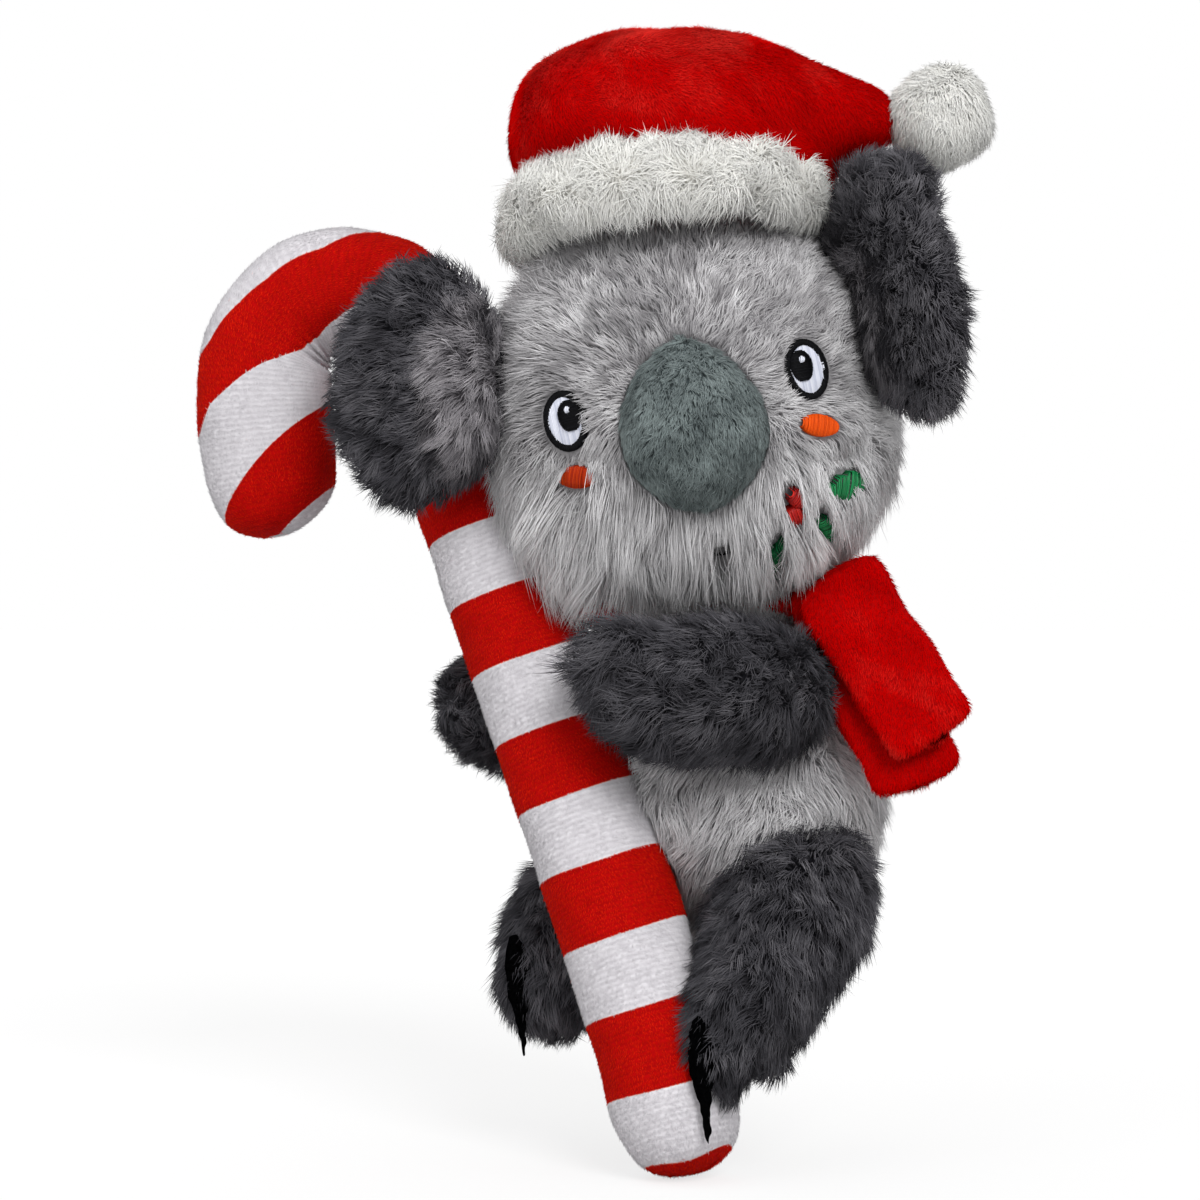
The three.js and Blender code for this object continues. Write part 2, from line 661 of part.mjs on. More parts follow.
function cuffSolid(grow = 0) {
  const size = { width: CUFF_WIDTH, depth: CUFF_DEPTH, height: CUFF_HEIGHT, thickness: CUFF_THICKNESS };
  const geometry = ring(size, grow).rotateX(-radians(CUFF_PITCH)).rotateY(-radians(CUFF_TILT));
  return toSolid(geometry.translate(cuffMiddle.x, cuffMiddle.y, cuffMiddle.z));
}

function crownSolid(grow = 0) {
  const top = cuffMiddle.clone().addScaledVector(cuffUp, CROWN_HEIGHT);
  top.add(new THREE.Vector3(CROWN_LEAN, 0, 0));
  const foot = cuffMiddle.clone().addScaledVector(cuffUp, -CROWN_SKIRT);
  const dome = {
    spine: [foot, foot.clone().lerp(top, 1 / 2), top],
    width: CROWN_WIDTH,
    depth: CROWN_DEPTH,
    swell: CROWN_SWELL_SHARES,
    blunt: [3.4, 2.6],
    steps: LIMB_STEPS,
    sides: BODY_SIDES,
  };
  const tail = {
    spine: tailRoute,
    width: TAIL_WIDTH,
    depth: TAIL_WIDTH,
    swell: TAIL_SWELL_SHARES,
    blunt: [6, 6],
    sides: LIMB_SIDES,
  };
  return stuffed(dome, grow).add(stuffed(tail, grow));
}

// Scarf

function bandSolid(grow = 0) {
  const size = {
    width: SCARF_BAND_WIDTH,
    depth: SCARF_BAND_DEPTH,
    height: SCARF_BAND_HEIGHT,
    thickness: SCARF_THICKNESS * 2,
  };
  return toSolid(ring(size, grow).translate(scarfMiddle.x, scarfMiddle.y, scarfMiddle.z));
}

function scarfTailForm(knot, length, lean) {
  const down = new THREE.Vector3(
    Math.sin(radians(lean)),
    -Math.sin(radians(SCARF_TAIL_SLANT)),
    -Math.cos(radians(lean)),
  ).normalize();
  return {
    spine: [0, 1 / 2, 1].map((share) => knot.clone().addScaledVector(down, share * length)),
    width: SCARF_TAIL_WIDTH,
    depth: SCARF_THICKNESS,
    swell: [1, 1],
    blunt: [14, 14],
    square: 3.6,
    steps: SMALL_STEPS,
  };
}

const lowerTailForm = scarfTailForm(scarfKnot, LOWER_TAIL_LENGTH, LOWER_TAIL_LEAN);
const upperTailForm = scarfTailForm(upperKnot, UPPER_TAIL_LENGTH, UPPER_TAIL_LEAN);

// Claws: a felt strip down the front of each foot

function clawForm(leg, shares) {
  const foot = leg.spine[leg.spine.length - 1];
  const top = placed(foot, shares, [LEG_WIDTH / 2, LEG_DEPTH / 2, -LEG_LENGTH]);
  const down = new THREE.Vector3(CLAW_SLOPE, 0, -1).multiplyScalar(CLAW_LENGTH);
  return {
    spine: [0, 1 / 2, 1].map((share) => top.clone().addScaledVector(down, share)),
    width: CLAW_WIDTH,
    depth: CLAW_DEPTH,
    swell: CLAW_SWELL_SHARES,
    blunt: [4, 6],
    steps: SMALL_STEPS,
    sides: SMALL_SIDES,
  };
}

// Every piece, cut to its larger neighbours

const back = behindTheBack();
const cane = stuffed(caneForm).subtract(back);
const caneRoom = stuffed(caneForm, GAP);
const caneSwingRoom = stuffed(caneForm, SWING_GAP);

// A limb: its ball turns in a socket of the torso, and the rest stays clear of the torso all the way
function limb(form, swing, obstacles) {
  const root = ball(swing.pivot, BALL_DIAMETER);
  const torsoRoom = stuffed(torsoForm, SWING_GAP).subtract(ball(swing.pivot, BALL_DIAMETER, GAP));
  const whole = stuffed(form).add(root).subtract(back);
  return [torsoRoom, ...obstacles].reduce((left, obstacle) => clearedFor(left, swing, obstacle), whole);
}

const armLeft = limb(leftArmForm, swings.arm_left_swing, [caneSwingRoom]);
const armRight = limb(rightArmForm, swings.arm_right_swing, [caneSwingRoom]);
const legLeft = limb(leftLegForm, swings.leg_left_swing, [caneSwingRoom]);
const legRight = limb(rightLegForm, swings.leg_right_swing, [caneSwingRoom]);

const sockets = [leftShoulder, rightShoulder, leftHip, rightHip];
const torso = mainBody(
  sockets.reduce(
    (left, centre) => left.subtract(ball(centre, BALL_DIAMETER, SOCKET_GAP)),
    stuffed(torsoForm).subtract(caneRoom).subtract(back),
  ),
);

const headStart = stuffed(headForm).subtract(back);
const headTurn = swings.head_turn;
const headCut = clearedFor(clearedFor(headStart, headTurn, stuffed(torsoForm, GAP)), headTurn, caneSwingRoom);
const head = clearedFor(headCut, headTurn, bandSolid(GAP));
const headRoom = stuffed(headForm, GAP);
const headSwingRoom = stuffed(headForm, SWING_GAP);

const band = mainBody(bandSolid().subtract(stuffed(torsoForm, GAP)).subtract(caneRoom).subtract(back));
const nose = mainBody(stuffed(noseForm).subtract(headRoom));

const cuff = mainBody(cuffSolid().subtract(headRoom).subtract(back));
const crown = mainBody(crownSolid().subtract(headRoom).subtract(cuffSolid(GAP)).subtract(back));
const crownRoom = crownSolid(SWING_GAP);
const pompom = clearedFor(ball(pompomMiddle, POMPOM_DIAMETER), swings.pompom_swing, crownRoom);

const earReach = new THREE.Vector3(EAR_WIDTH / 2 - EAR_SINK, 0, 0);
const rightEarForm = earForm(rightEarRoot.clone().sub(earReach), RIGHT_EAR_LEAN, RIGHT_EAR_HEIGHT);
const leftEarForm = earForm(leftEarRoot.clone().add(earReach), -LEFT_EAR_LEAN, LEFT_EAR_HEIGHT);
const pompomRoom = sweptBy(ball(pompomMiddle, POMPOM_DIAMETER, SWING_GAP), swings.pompom_swing);
const hatRoom = cuffSolid(SWING_GAP).add(crownRoom).add(pompomRoom);

function fittedEar(solid, swing) {
  return clearedFor(clearedFor(solid, swing, headSwingRoom), swing, hatRoom);
}

const earRight = fittedEar(stuffed(rightEarForm), swings.ear_right_fold);
const earLeft = fittedEar(foldedForward(stuffed(leftEarForm)), swings.ear_left_fold);
const liningRight = fittedEar(earLining(rightEarForm, 1), swings.ear_right_fold);
const liningLeft = fittedEar(foldedForward(earLining(leftEarForm, -1)), swings.ear_left_fold);

const armLeftRoom = sweptBy(stuffed(leftArmForm, SWING_GAP), swings.arm_left_swing);

function scarfTail(form, swing, carriers) {
  const obstacles = [stuffed(torsoForm, SWING_GAP), bandSolid(SWING_GAP), armLeftRoom, ...carriers];
  return obstacles.reduce((left, obstacle) => clearedFor(left, swing, obstacle), stuffed(form));
}

const tailLower = scarfTail(lowerTailForm, swings.scarf_lower_lift, []);
const tailUpper = scarfTail(upperTailForm, swings.scarf_upper_lift, [stuffed(lowerTailForm, SWING_GAP)]);

function claw(leg, shares) {
  return mainBody(stuffed(clawForm(leg, shares)).subtract(stuffed(leg, GAP)));
}

// Materials

const MATERIALS = {
  lightFur: [0xb9b6b8, 1],
  darkFur: [0x4f4f55, 1],
  earCloth: [0x8f858f, 0.95],
  nosePlush: [0x69787a, 0.9],
  redPlush: [0xc8140f, 0.85],
  whitePlush: [0xebe8e6, 1],
  caneCloth: [0xe4e1e2, 0.8],
  feltBlack: [0x0c0c0d, 0.9],
  threadBlack: [0x0b0c10, 0.55],
  threadWhite: [0xdfe2ec, 0.55],
  threadOrange: [0xd2501e, 0.55],
  threadGreen: [0x0b7a3c, 0.55],
  threadRed: [0xb8100d, 0.55],
};

function cloth(name) {
  const [color, roughness] = MATERIALS[name];
  return new THREE.MeshStandardMaterial({ color, roughness, metalness: 0 });
}

const assembly = new THREE.Group();

function addPiece(name, solid, material) {
  const mesh = new THREE.Mesh(toGeometry(solid), cloth(material));
  mesh.name = name;
  assembly.add(mesh);
}

function addEye(name, layers) {
  addPiece(`${name}_ring`, layers.ring, "threadBlack");
  addPiece(`${name}_white`, layers.white, "threadWhite");
  addPiece(`${name}_pupil`, layers.pupil, "threadBlack");
  addPiece(`${name}_glint`, layers.glint, "threadWhite");
}

addPiece("torso", torso, "lightFur");
addPiece("head", head, "lightFur");
addPiece("nose", nose, "nosePlush");
addEye("eye_left", eyeLayers(leftEye, -1));
addEye("eye_right", eyeLayers(rightEye, 1));
addPiece("cheek_left", cheek(leftEye), "threadOrange");
addPiece("cheek_right", cheek(rightEye), "threadOrange");
addPiece("mouth_stitch", mouth(), "threadBlack");
LEAF_ANGLES.forEach((angle, i) =>
  addPiece(`holly_leaf_${i + 1}`, hollyLeaf(angle, LEAF_REACHES[i]), "threadGreen"),
);
BERRY_ANGLES.forEach((angle, i) => addPiece(`holly_berry_${i + 1}`, hollyBerry(angle), "threadRed"));
addPiece("ear_left", earLeft, "darkFur");
addPiece("ear_right", earRight, "darkFur");
addPiece("ear_left_lining", liningLeft, "earCloth");
addPiece("ear_right_lining", liningRight, "earCloth");
addPiece("hat_crown", crown, "redPlush");
addPiece("hat_cuff", cuff, "whitePlush");
addPiece("pompom", pompom, "whitePlush");
addPiece("scarf_band", band, "redPlush");
addPiece("scarf_tail_upper", tailUpper, "redPlush");
addPiece("scarf_tail_lower", tailLower, "redPlush");
addPiece("arm_left", armLeft, "darkFur");
addPiece("arm_right", armRight, "darkFur");
addPiece("leg_left", legLeft, "darkFur");
addPiece("leg_right", legRight, "darkFur");
addPiece("claw_left", claw(leftLegForm, LEFT_CLAW_SHARES), "feltBlack");
addPiece("claw_right", claw(rightLegForm, RIGHT_CLAW_SHARES), "feltBlack");
addPiece("candy_cane", cane, "caneCloth");

// The origin is under the middle of the whole toy, at the lowest point
const extent = new THREE.Box3().setFromObject(assembly);
const centre = extent.getCenter(new THREE.Vector3());
assembly.position.set(-centre.x, -centre.y, -extent.min.z);

const group = new THREE.Group();
group.add(assembly);
group.userData.swings = swings;

export default group;
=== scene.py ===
import json
import math

import bpy
import numpy as np
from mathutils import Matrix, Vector, kdtree
from mathutils.bvhtree import BVHTree


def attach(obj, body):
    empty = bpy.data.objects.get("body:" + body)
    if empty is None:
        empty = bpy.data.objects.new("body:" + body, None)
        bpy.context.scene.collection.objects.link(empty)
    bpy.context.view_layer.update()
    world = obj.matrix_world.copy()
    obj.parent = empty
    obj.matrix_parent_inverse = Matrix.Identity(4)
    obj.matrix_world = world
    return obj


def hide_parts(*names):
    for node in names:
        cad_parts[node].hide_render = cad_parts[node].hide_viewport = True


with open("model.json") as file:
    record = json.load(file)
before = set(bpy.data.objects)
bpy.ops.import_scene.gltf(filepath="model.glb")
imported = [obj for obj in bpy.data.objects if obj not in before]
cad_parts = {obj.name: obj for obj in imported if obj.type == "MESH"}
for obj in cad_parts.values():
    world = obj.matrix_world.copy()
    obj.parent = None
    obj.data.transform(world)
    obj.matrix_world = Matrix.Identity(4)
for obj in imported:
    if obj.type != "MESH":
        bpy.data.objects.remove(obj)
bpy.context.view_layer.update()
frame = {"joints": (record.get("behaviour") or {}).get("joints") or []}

MM = 0.001
UP = np.array([0.0, 0.0, 1.0])
BACK = np.array([0.0, 1.0, 0.0])
QUICK = 1.0

# The part's own sizes, as in its source
TORSO = dict(base=55, height=97, width=80, depth=68, lean=5, flat=1.5)
NECK = np.array([-TORSO["lean"] / 2, 0, TORSO["base"] + TORSO["height"]])
HEAD = dict(height=113, width=106, depth=88, tilt=12, sink=6, side=5)

joint_places = {j["name"]: np.array(j["pos_m"], float) / MM for j in frame["joints"]}
ORIGIN = joint_places["head_turn"] - NECK  # where the source's own origin lies in the frame


def unit(v):
    v = np.asarray(v, float)
    return v / np.maximum(np.linalg.norm(v, axis=-1, keepdims=True), 1e-9)


def dot(a, b):
    return (a * b).sum(-1, keepdims=True)


def smooth(x, low, high):
    t = np.clip((x - low) / (high - low), 0, 1)
    return t * t * (3 - 2 * t)


def turn(points, pivot, axis, degrees):
    """Points turned about an axis through a pivot, by the right hand."""
    a = math.radians(degrees)
    k = unit(axis)
    p = np.asarray(points, float) - pivot
    turned = p * math.cos(a) + np.cross(k, p) * math.sin(a) + dot(p, k) * k * (1 - math.cos(a))
    return turned + pivot


def waves(points, size, seed, count=7):
    """Smooth noise from -1 to 1, whose bumps are about so many millimetres across."""
    rng = np.random.default_rng(seed)
    ways = unit(rng.normal(size=(count, 3))) * (2 * math.pi / size) * rng.uniform(0.6, 1.5, (count, 1))
    phase = rng.uniform(0, 2 * math.pi, count)
    return np.sin(points @ ways.T + phase).sum(-1) / math.sqrt(count) / 1.4


def stray(points, size, seed):
    """Smooth noise in each of the three directions."""
    return np.stack([waves(points, size, seed + k) for k in range(3)], -1)


def full_turn(count):
    return 2 * np.pi * np.arange(count) / count


def grid(first, second):
    """Every pair of values of two rows, as two flat rows."""
    return (x.ravel() for x in np.meshgrid(first, second, indexing="ij"))


# Forms


def catmull(points, dense=60):
    """The same smooth line through the points as the part's source draws."""
    points = np.asarray(points, float)
    p = np.vstack([2 * points[0] - points[1], points, 2 * points[-1] - points[-2]])
    out = []
    for i in range(len(points) - 1):
        x0, x1, x2, x3 = p[i : i + 4]
        d0, d1, d2 = [max(np.linalg.norm(b - a) ** 0.5, 1e-4) for a, b in ((x0, x1), (x1, x2), (x2, x3))]
        t1 = ((x1 - x0) / d0 - (x2 - x0) / (d0 + d1) + (x2 - x1) / d1) * d1
        t2 = ((x2 - x1) / d1 - (x3 - x1) / (d1 + d2) + (x3 - x2) / d2) * d1
        w = np.linspace(0, 1, dense, endpoint=False)[:, None]
        square, cube = -3 * x1 + 3 * x2 - 2 * t1 - t2, 2 * x1 - 2 * x2 + t1 + t2
        out.append(x1 + t1 * w + square * w**2 + cube * w**3)
    return np.vstack([*out, points[-1:]])


def spline(values, t):
    """A smooth line through evenly spaced values."""
    values = np.asarray(values, float)
    n = len(values)
    p = (n - 1) * np.clip(t, 0, 1)
    i = np.minimum(p.astype(int), n - 2)
    w = p - i
    a, b, c, d = (values[np.clip(i + k, 0, n - 1)] for k in (-1, 0, 1, 2))
    v0, v1 = (c - a) / 2, (d - b) / 2
    return (2 * b - 2 * c + v0 + v1) * w**3 + (-3 * b + 3 * c - 2 * v0 - v1) * w**2 + v0 * w + b


class Loft:
    """A stuffed form: oval rings along a smooth spine, drawn to a point at both ends."""

    def __init__(self, spine, width, depth, swell, blunt=(2, 2), square=2, after=None):
        self.line = catmull(np.asarray(spine, float) + ORIGIN)
        if after:
            self.line = after(self.line)
        step = np.linalg.norm(np.diff(self.line, axis=0), axis=1)
        self.arc = np.r_[0, np.cumsum(step)]
        self.length = self.arc[-1]
        self.tangents = unit(np.gradient(self.line, self.arc, axis=0))
        self.half = (width / 2, depth / 2)
        self.swell, self.blunt, self.square = swell, blunt, square
        self.back = BACK if after is None else unit(after(self.line * 0 + BACK) - after(self.line * 0))[0]

    def frame(self, t):
        s = np.clip(t, 0, 1) * self.length
        centre = np.stack([np.interp(s, self.arc, self.line[:, k]) for k in range(3)], -1)
        tangent = unit(np.stack([np.interp(s, self.arc, self.tangents[:, k]) for k in range(3)], -1))
        side = unit(np.cross(self.back, tangent))
        return centre, tangent, side, np.cross(tangent, side)

    def size(self, t):
        t = np.clip(t, 0, 1)
        end = self.blunt[0] + (self.blunt[1] - self.blunt[0]) * t
        return spline(self.swell, t) * np.sqrt(np.maximum(1 - np.abs(2 * t - 1) ** end, 0))

    def point(self, t, angle, grow=0.0):
        centre, tangent, side, back = self.frame(t)
        size = self.size(t)
        c, s = np.cos(angle), np.sin(angle)
        cs = np.sign(c) * np.abs(c) ** (2 / self.square) * (self.half[0] * size + grow)
        ss = np.sign(s) * np.abs(s) ** (2 / self.square) * (self.half[1] * size + grow)
        centre = centre + tangent * (grow * (2 * t - 1))[..., None]
        return centre + side * cs[..., None] + back * ss[..., None]

    def mesh(self, rings, sides, grow=0.0):
        """Vertices, triangles, and each vertex's place along (t) and round (angle) the form."""
        t = (1 - np.cos(np.pi * np.arange(1, rings) / rings)) / 2
        tt, aa = grid(t, full_turn(sides))
        middles, tangents, _, _ = self.frame(np.array([0.0, 1.0]))
        ends = middles + tangents * np.array([[-grow], [grow]])
        vertices = np.vstack([self.point(tt, aa, grow), ends])
        return vertices, tube_faces(rings - 1, sides), np.r_[tt, 0, 1], np.r_[aa, 0, 0]

    def inside(self, points, grow=0.0):
        """Which points lie in the form, grown by so much."""
        k = np.linspace(0, 1, 61)
        centres, tangents, _, _ = self.frame(k)
        found = np.zeros(len(points), bool)
        for low in range(0, len(points), 40000):
            p = points[low : low + 40000]
            gap = ((p[:, None] - centres[None]) ** 2).sum(-1)
            near = gap.argmin(1)
            t = np.clip(k[near] + dot(p - centres[near], tangents[near])[:, 0] / self.length, 0, 1)
            centre, tangent, side, back = self.frame(t)
            size = self.size(t)
            a = np.maximum(self.half[0] * size + grow, 0.01)
            b = np.maximum(self.half[1] * size + grow, 0.01)
            off = p - centre
            beyond = np.maximum(np.abs(dot(off, tangent)[:, 0]) - max(grow, 0.2), 0)
            across, ahead = np.abs(dot(off, side)[:, 0] / a), np.abs(dot(off, back)[:, 0] / b)
            value = across**self.square + ahead**self.square
            found[low : low + 40000] = (value < 1) & (beyond < 0.01)
        return found


def tube_faces(rings, sides):
    """Triangles of a closed tube of rings, with one vertex at each end after them."""
    i, j = np.meshgrid(np.arange(rings - 1), np.arange(sides), indexing="ij")
    a = i * sides + j
    b = i * sides + (j + 1) % sides
    c, d = b + sides, a + sides
    walls = np.concatenate([np.stack(row, -1).reshape(-1, 3) for row in ((a, b, c), (a, c, d))])
    walls = walls[np.argsort(walls[:, 0] // sides, kind="stable")]
    j = np.arange(sides)
    first = rings * sides
    start = np.stack([np.full(sides, first), (j + 1) % sides, j], -1)
    low = (rings - 1) * sides
    end = np.stack([np.full(sides, first + 1), low + j, low + (j + 1) % sides], -1)
    return np.vstack([start, walls, end])


class Ring:
    """A soft ring, sized outside."""

    def __init__(self, middle, width, depth, height, thickness, pitch=0, tilt=0):
        self.middle = np.asarray(middle, float) + ORIGIN
        self.across, self.tube = (width - thickness) / 2, thickness / 2
        self.ky = (depth - thickness) / (width - thickness)
        self.kz = height / thickness
        self.pitch, self.tilt = pitch, tilt

    def place(self, p):
        p = turn(p, np.zeros(3), (1, 0, 0), -self.pitch)
        return turn(p, np.zeros(3), (0, 1, 0), -self.tilt) + self.middle

    def mesh(self, around, sides, grow=0.0):
        uu, vv = grid(full_turn(around), full_turn(sides))
        r = self.tube + grow
        high = self.tube * self.kz + grow
        x = (self.across + r * np.cos(vv)) * np.cos(uu)
        y = (self.across + r * np.cos(vv)) * np.sin(uu) * self.ky
        vertices = self.place(np.stack([x, y, high * np.sin(vv)], -1))
        i, j = np.meshgrid(np.arange(around), np.arange(sides), indexing="ij")
        a = i * sides + j
        b = i * sides + (j + 1) % sides
        c = ((i + 1) % around) * sides + (j + 1) % sides
        d = ((i + 1) % around) * sides + j
        faces = np.concatenate([np.stack(row, -1).reshape(-1, 3) for row in ((a, c, b), (a, d, c))])
        faces = faces[np.argsort(faces[:, 0] // sides, kind="stable")]
        return vertices, faces, uu / (2 * np.pi), vv

    def inside(self, points, grow=0.0):
        p = turn(points - self.middle, np.zeros(3), (0, 1, 0), self.tilt)
        p = turn(p, np.zeros(3), (1, 0, 0), self.pitch)
        away = np.hypot(p[:, 0], p[:, 1] / self.ky) - self.across
        return (away / (self.tube + grow)) ** 2 + (p[:, 2] / (self.tube * self.kz + grow)) ** 2 < 1


def normals_of(vertices, faces):
    a, b, c = (vertices[faces[:, k]] for k in range(3))
    n = np.cross(b - a, c - a)
    out = np.zeros_like(vertices)
    for k in range(3):
        for axis in range(3):
            out[:, axis] += np.bincount(faces[:, k], n[:, axis], len(vertices))
    return unit(out)


class Skin:
    """The cloth of one piece: a closed mesh with a normal at each vertex."""

    def __init__(self, vertices, faces, t=None, angle=None):
        self.v, self.f, self.t, self.angle = vertices, faces, t, angle
        self.place = self.rooted = None  # numbers at each vertex, and at each root that grew
        self.refresh()

    def refresh(self):
        self.n = normals_of(self.v, self.f)
        return self

    def move(self, amount):
        self.v = self.v + self.n * np.asarray(amount)[:, None]
        return self.refresh()


# Meshes

SHADE, ALONG = "shade", "along"


def make_mesh(name, vertices, faces, material, body, shade=None, along=None, uv=None, looks=None):
    """A Blender object from triangles in millimetres. shade and along are numbers at each vertex."""
    mesh = bpy.data.meshes.new(name)
    mesh.vertices.add(len(vertices))
    mesh.vertices.foreach_set("co", (vertices * MM).astype(np.float32).ravel())
    mesh.loops.add(faces.size)
    mesh.loops.foreach_set("vertex_index", faces.astype(np.int32).ravel())
    mesh.polygons.add(len(faces))
    mesh.polygons.foreach_set("loop_start", np.arange(0, faces.size, 3, dtype=np.int32))
    mesh.polygons.foreach_set("use_smooth", np.ones(len(faces), bool))
    for label, values in ((SHADE, shade), (ALONG, along)):
        if values is not None:
            mesh.attributes.new(label, "FLOAT", "POINT").data.foreach_set(
                "value", np.broadcast_to(values, len(vertices)).astype(np.float32)
            )
    if uv is not None:
        layer = mesh.uv_layers.new(name="OFBake")
        layer.data.foreach_set("uv", uv[faces.ravel()].astype(np.float32).ravel())
    mesh.update(calc_edges=True)
    if looks is not None:
        mesh.normals_split_custom_set_from_vertices(looks.astype(np.float32))
    mesh.materials.append(material)
    obj = bpy.data.objects.new(name, mesh)
    bpy.context.scene.collection.objects.link(obj)
    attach(obj, body)
    return obj


def strand_mesh(paths, radii, normals, soft):
    """Three-sided tapered threads: paths is (strands, points, 3), radii the same without the last axis.
    The last point of each is a single vertex, and the root is closed."""
    n, k, _ = paths.shape
    way = unit(np.gradient(paths, axis=1))
    helper = np.where(np.abs(way[..., 2:3]) > 0.9, np.array([1.0, 0, 0]), np.array([0, 0, 1.0]))
    a = unit(np.cross(way, helper))
    b = np.cross(way, a)
    sides = 3
    angle = full_turn(sides)[None, None, :, None]
    around = a[:, :-1, None] * np.cos(angle) + b[:, :-1, None] * np.sin(angle)
    rings = paths[:, :-1, None] + around * radii[:, :-1, None, None]
    block = (k - 1) * sides + 1
    vertices = np.concatenate([rings.reshape(n, -1, 3), paths[:, -1:]], 1)
    own = np.concatenate([around.reshape(n, -1, 3), way[:, -1:]], 1)
    looks = own * (1 - soft) + normals[:, None] * soft
    faces = [[0, 2, 1]]
    for r in range(k - 2):
        for j in range(sides):
            q, w = r * sides + j, r * sides + (j + 1) % sides
            faces += [[q, w, w + sides], [q, w + sides, q + sides]]
    low = (k - 2) * sides
    faces += [[low + j, low + (j + 1) % sides, block - 1] for j in range(sides)]
    faces = np.array(faces)
    all_faces = (faces[None] + (np.arange(n) * block)[:, None, None]).reshape(-1, 3)
    along = np.concatenate([np.repeat(np.linspace(0, 1, k)[:-1], sides), [1.0]])
    return vertices.reshape(-1, 3), all_faces, np.tile(along, n), block, unit(looks.reshape(-1, 3))


def bake_map(shade, along, block):
    """A map whose two axes are the two numbers that the colour depends on."""
    n = len(shade) // block
    nudge = np.tile(np.r_[np.arange(block - 1) % 3, 1], n) * 0.002
    return np.stack([0.02 + 0.95 * shade + nudge, 0.02 + 0.96 * along], -1)


MOST_FACES = 190000  # in one piece of pile
SHORTEST, LONGEST = 0.45, 1.6  # shares of the pile's length
TAPER = ([0, 0.45, 0.9], [1, 0.9, 0.6])  # places along a strand, and its thickness there
WINDOW_REACH, WINDOW_DEPTH = 26, 25  # how far from its middle a window clears strands


class Pile:
    """How a cloth's pile grows: strands to the square centimetre, length, lean in degrees and radius."""

    def __init__(self, density, length, lean, radius, segments, clump, pull, droop, spread, vary=0.22,
                 soft=0.6):
        self.density, self.length, self.lean, self.radius = density, length, lean, radius
        self.segments, self.clump, self.pull, self.droop = segments, clump, pull, droop
        self.spread, self.vary, self.soft = spread, vary, soft


def scattered(skin, density, rng):
    """Roots spread over a skin's area: the corners of each one's triangle, and its weights of them."""
    a, b, c = (skin.v[skin.f[:, k]] for k in range(3))
    total = np.cumsum(np.linalg.norm(np.cross(b - a, c - a), axis=1) / 2)
    count = int(total[-1] / 100 * density * QUICK)
    pick = np.searchsorted(total, (np.arange(count) + rng.random(count)) / count * total[-1])
    r1, r2 = np.sqrt(rng.random(count)), rng.random(count)
    weights = np.stack([1 - r1, r1 * (1 - r2), r1 * r2], -1)
    return skin.f[np.minimum(pick, len(total) - 1)], weights[..., None]


def strand_paths(pile, roots, normals, comb, length, rng):
    """Each strand's points: it rises along the normal and leans over the way that it is combed."""
    way = comb(roots, normals)
    way = way + rng.normal(scale=pile.spread, size=way.shape)
    way = unit(way - normals * dot(way, normals))
    span = pile.length * np.clip(1 + pile.vary * rng.normal(size=len(roots)), SHORTEST, LONGEST)
    if length is not None:
        span = span * length(roots, normals)
    slope = np.radians(np.clip(pile.lean + rng.normal(scale=9, size=len(roots)), 4, 86))[:, None, None]
    s = np.linspace(0, 1, pile.segments + 1)[None, :, None]
    rise, over = s - (1 - np.cos(slope)) * s**2, np.sin(slope) * s**1.6
    reach = span[:, None, None]
    sunk = roots - normals * min(0.5, 0.15 * pile.length)
    paths = sunk[:, None] + reach * (rise * normals[:, None] + over * way[:, None])
    return paths - reach * pile.droop * UP * s**2


def clumped(paths, roots, pile, rng):
    """Draws strands towards the nearest of a few of them, and gives each strand its clump's tone."""
    if not pile.clump:
        return paths, rng.random(len(roots))
    guides = rng.random(len(roots)) < min(1.0, 100 / (pile.density * QUICK) / pile.clump**2)
    ids = np.flatnonzero(guides)
    tree = kdtree.KDTree(len(ids))
    for n, i in enumerate(ids):
        tree.insert(roots[i], n)
    tree.balance()
    near = np.array([tree.find(p)[1] for p in roots])
    s = np.linspace(0, 1, pile.segments + 1)[None, :, None]
    strength = (pile.pull * rng.uniform(0.5, 1.15, len(roots)))[:, None, None] * s**1.4
    paths = paths + strength * (paths[ids[near]] - paths)
    rng.normal(size=len(ids))  # a draw that keeps the later ones as they are
    return paths, rng.random(len(ids))[near]


def trimmed(paths, windows, rng):
    """How much of each strand is left when it ends short of the windows: ovals kept clear, from the front."""
    left = np.ones(len(paths))
    last = paths.shape[1] - 1
    ragged = rng.uniform(0.88, 1.08, len(paths)) - 0.22 * np.maximum(waves(paths[:, 0], 2.2, 67), 0)
    for spot, *oval in windows:
        close = np.abs(paths[:, 0] - spot)[:, [0, 2]].max(1) < WINDOW_REACH
        close &= paths[:, 0, 1] < spot[1] + WINDOW_DEPTH
        for share in (1.0, 0.85, 0.7, 0.55, 0.4, 0.2, 0.0):
            low = min(int(share * last), last - 1)
            p = paths[:, low] + (paths[:, low + 1] - paths[:, low]) * (share * last - low)
            covered = close & (flat_gap(p, spot, *oval) < ragged)
            left[covered] = np.minimum(left[covered], share - 0.1)
    return left


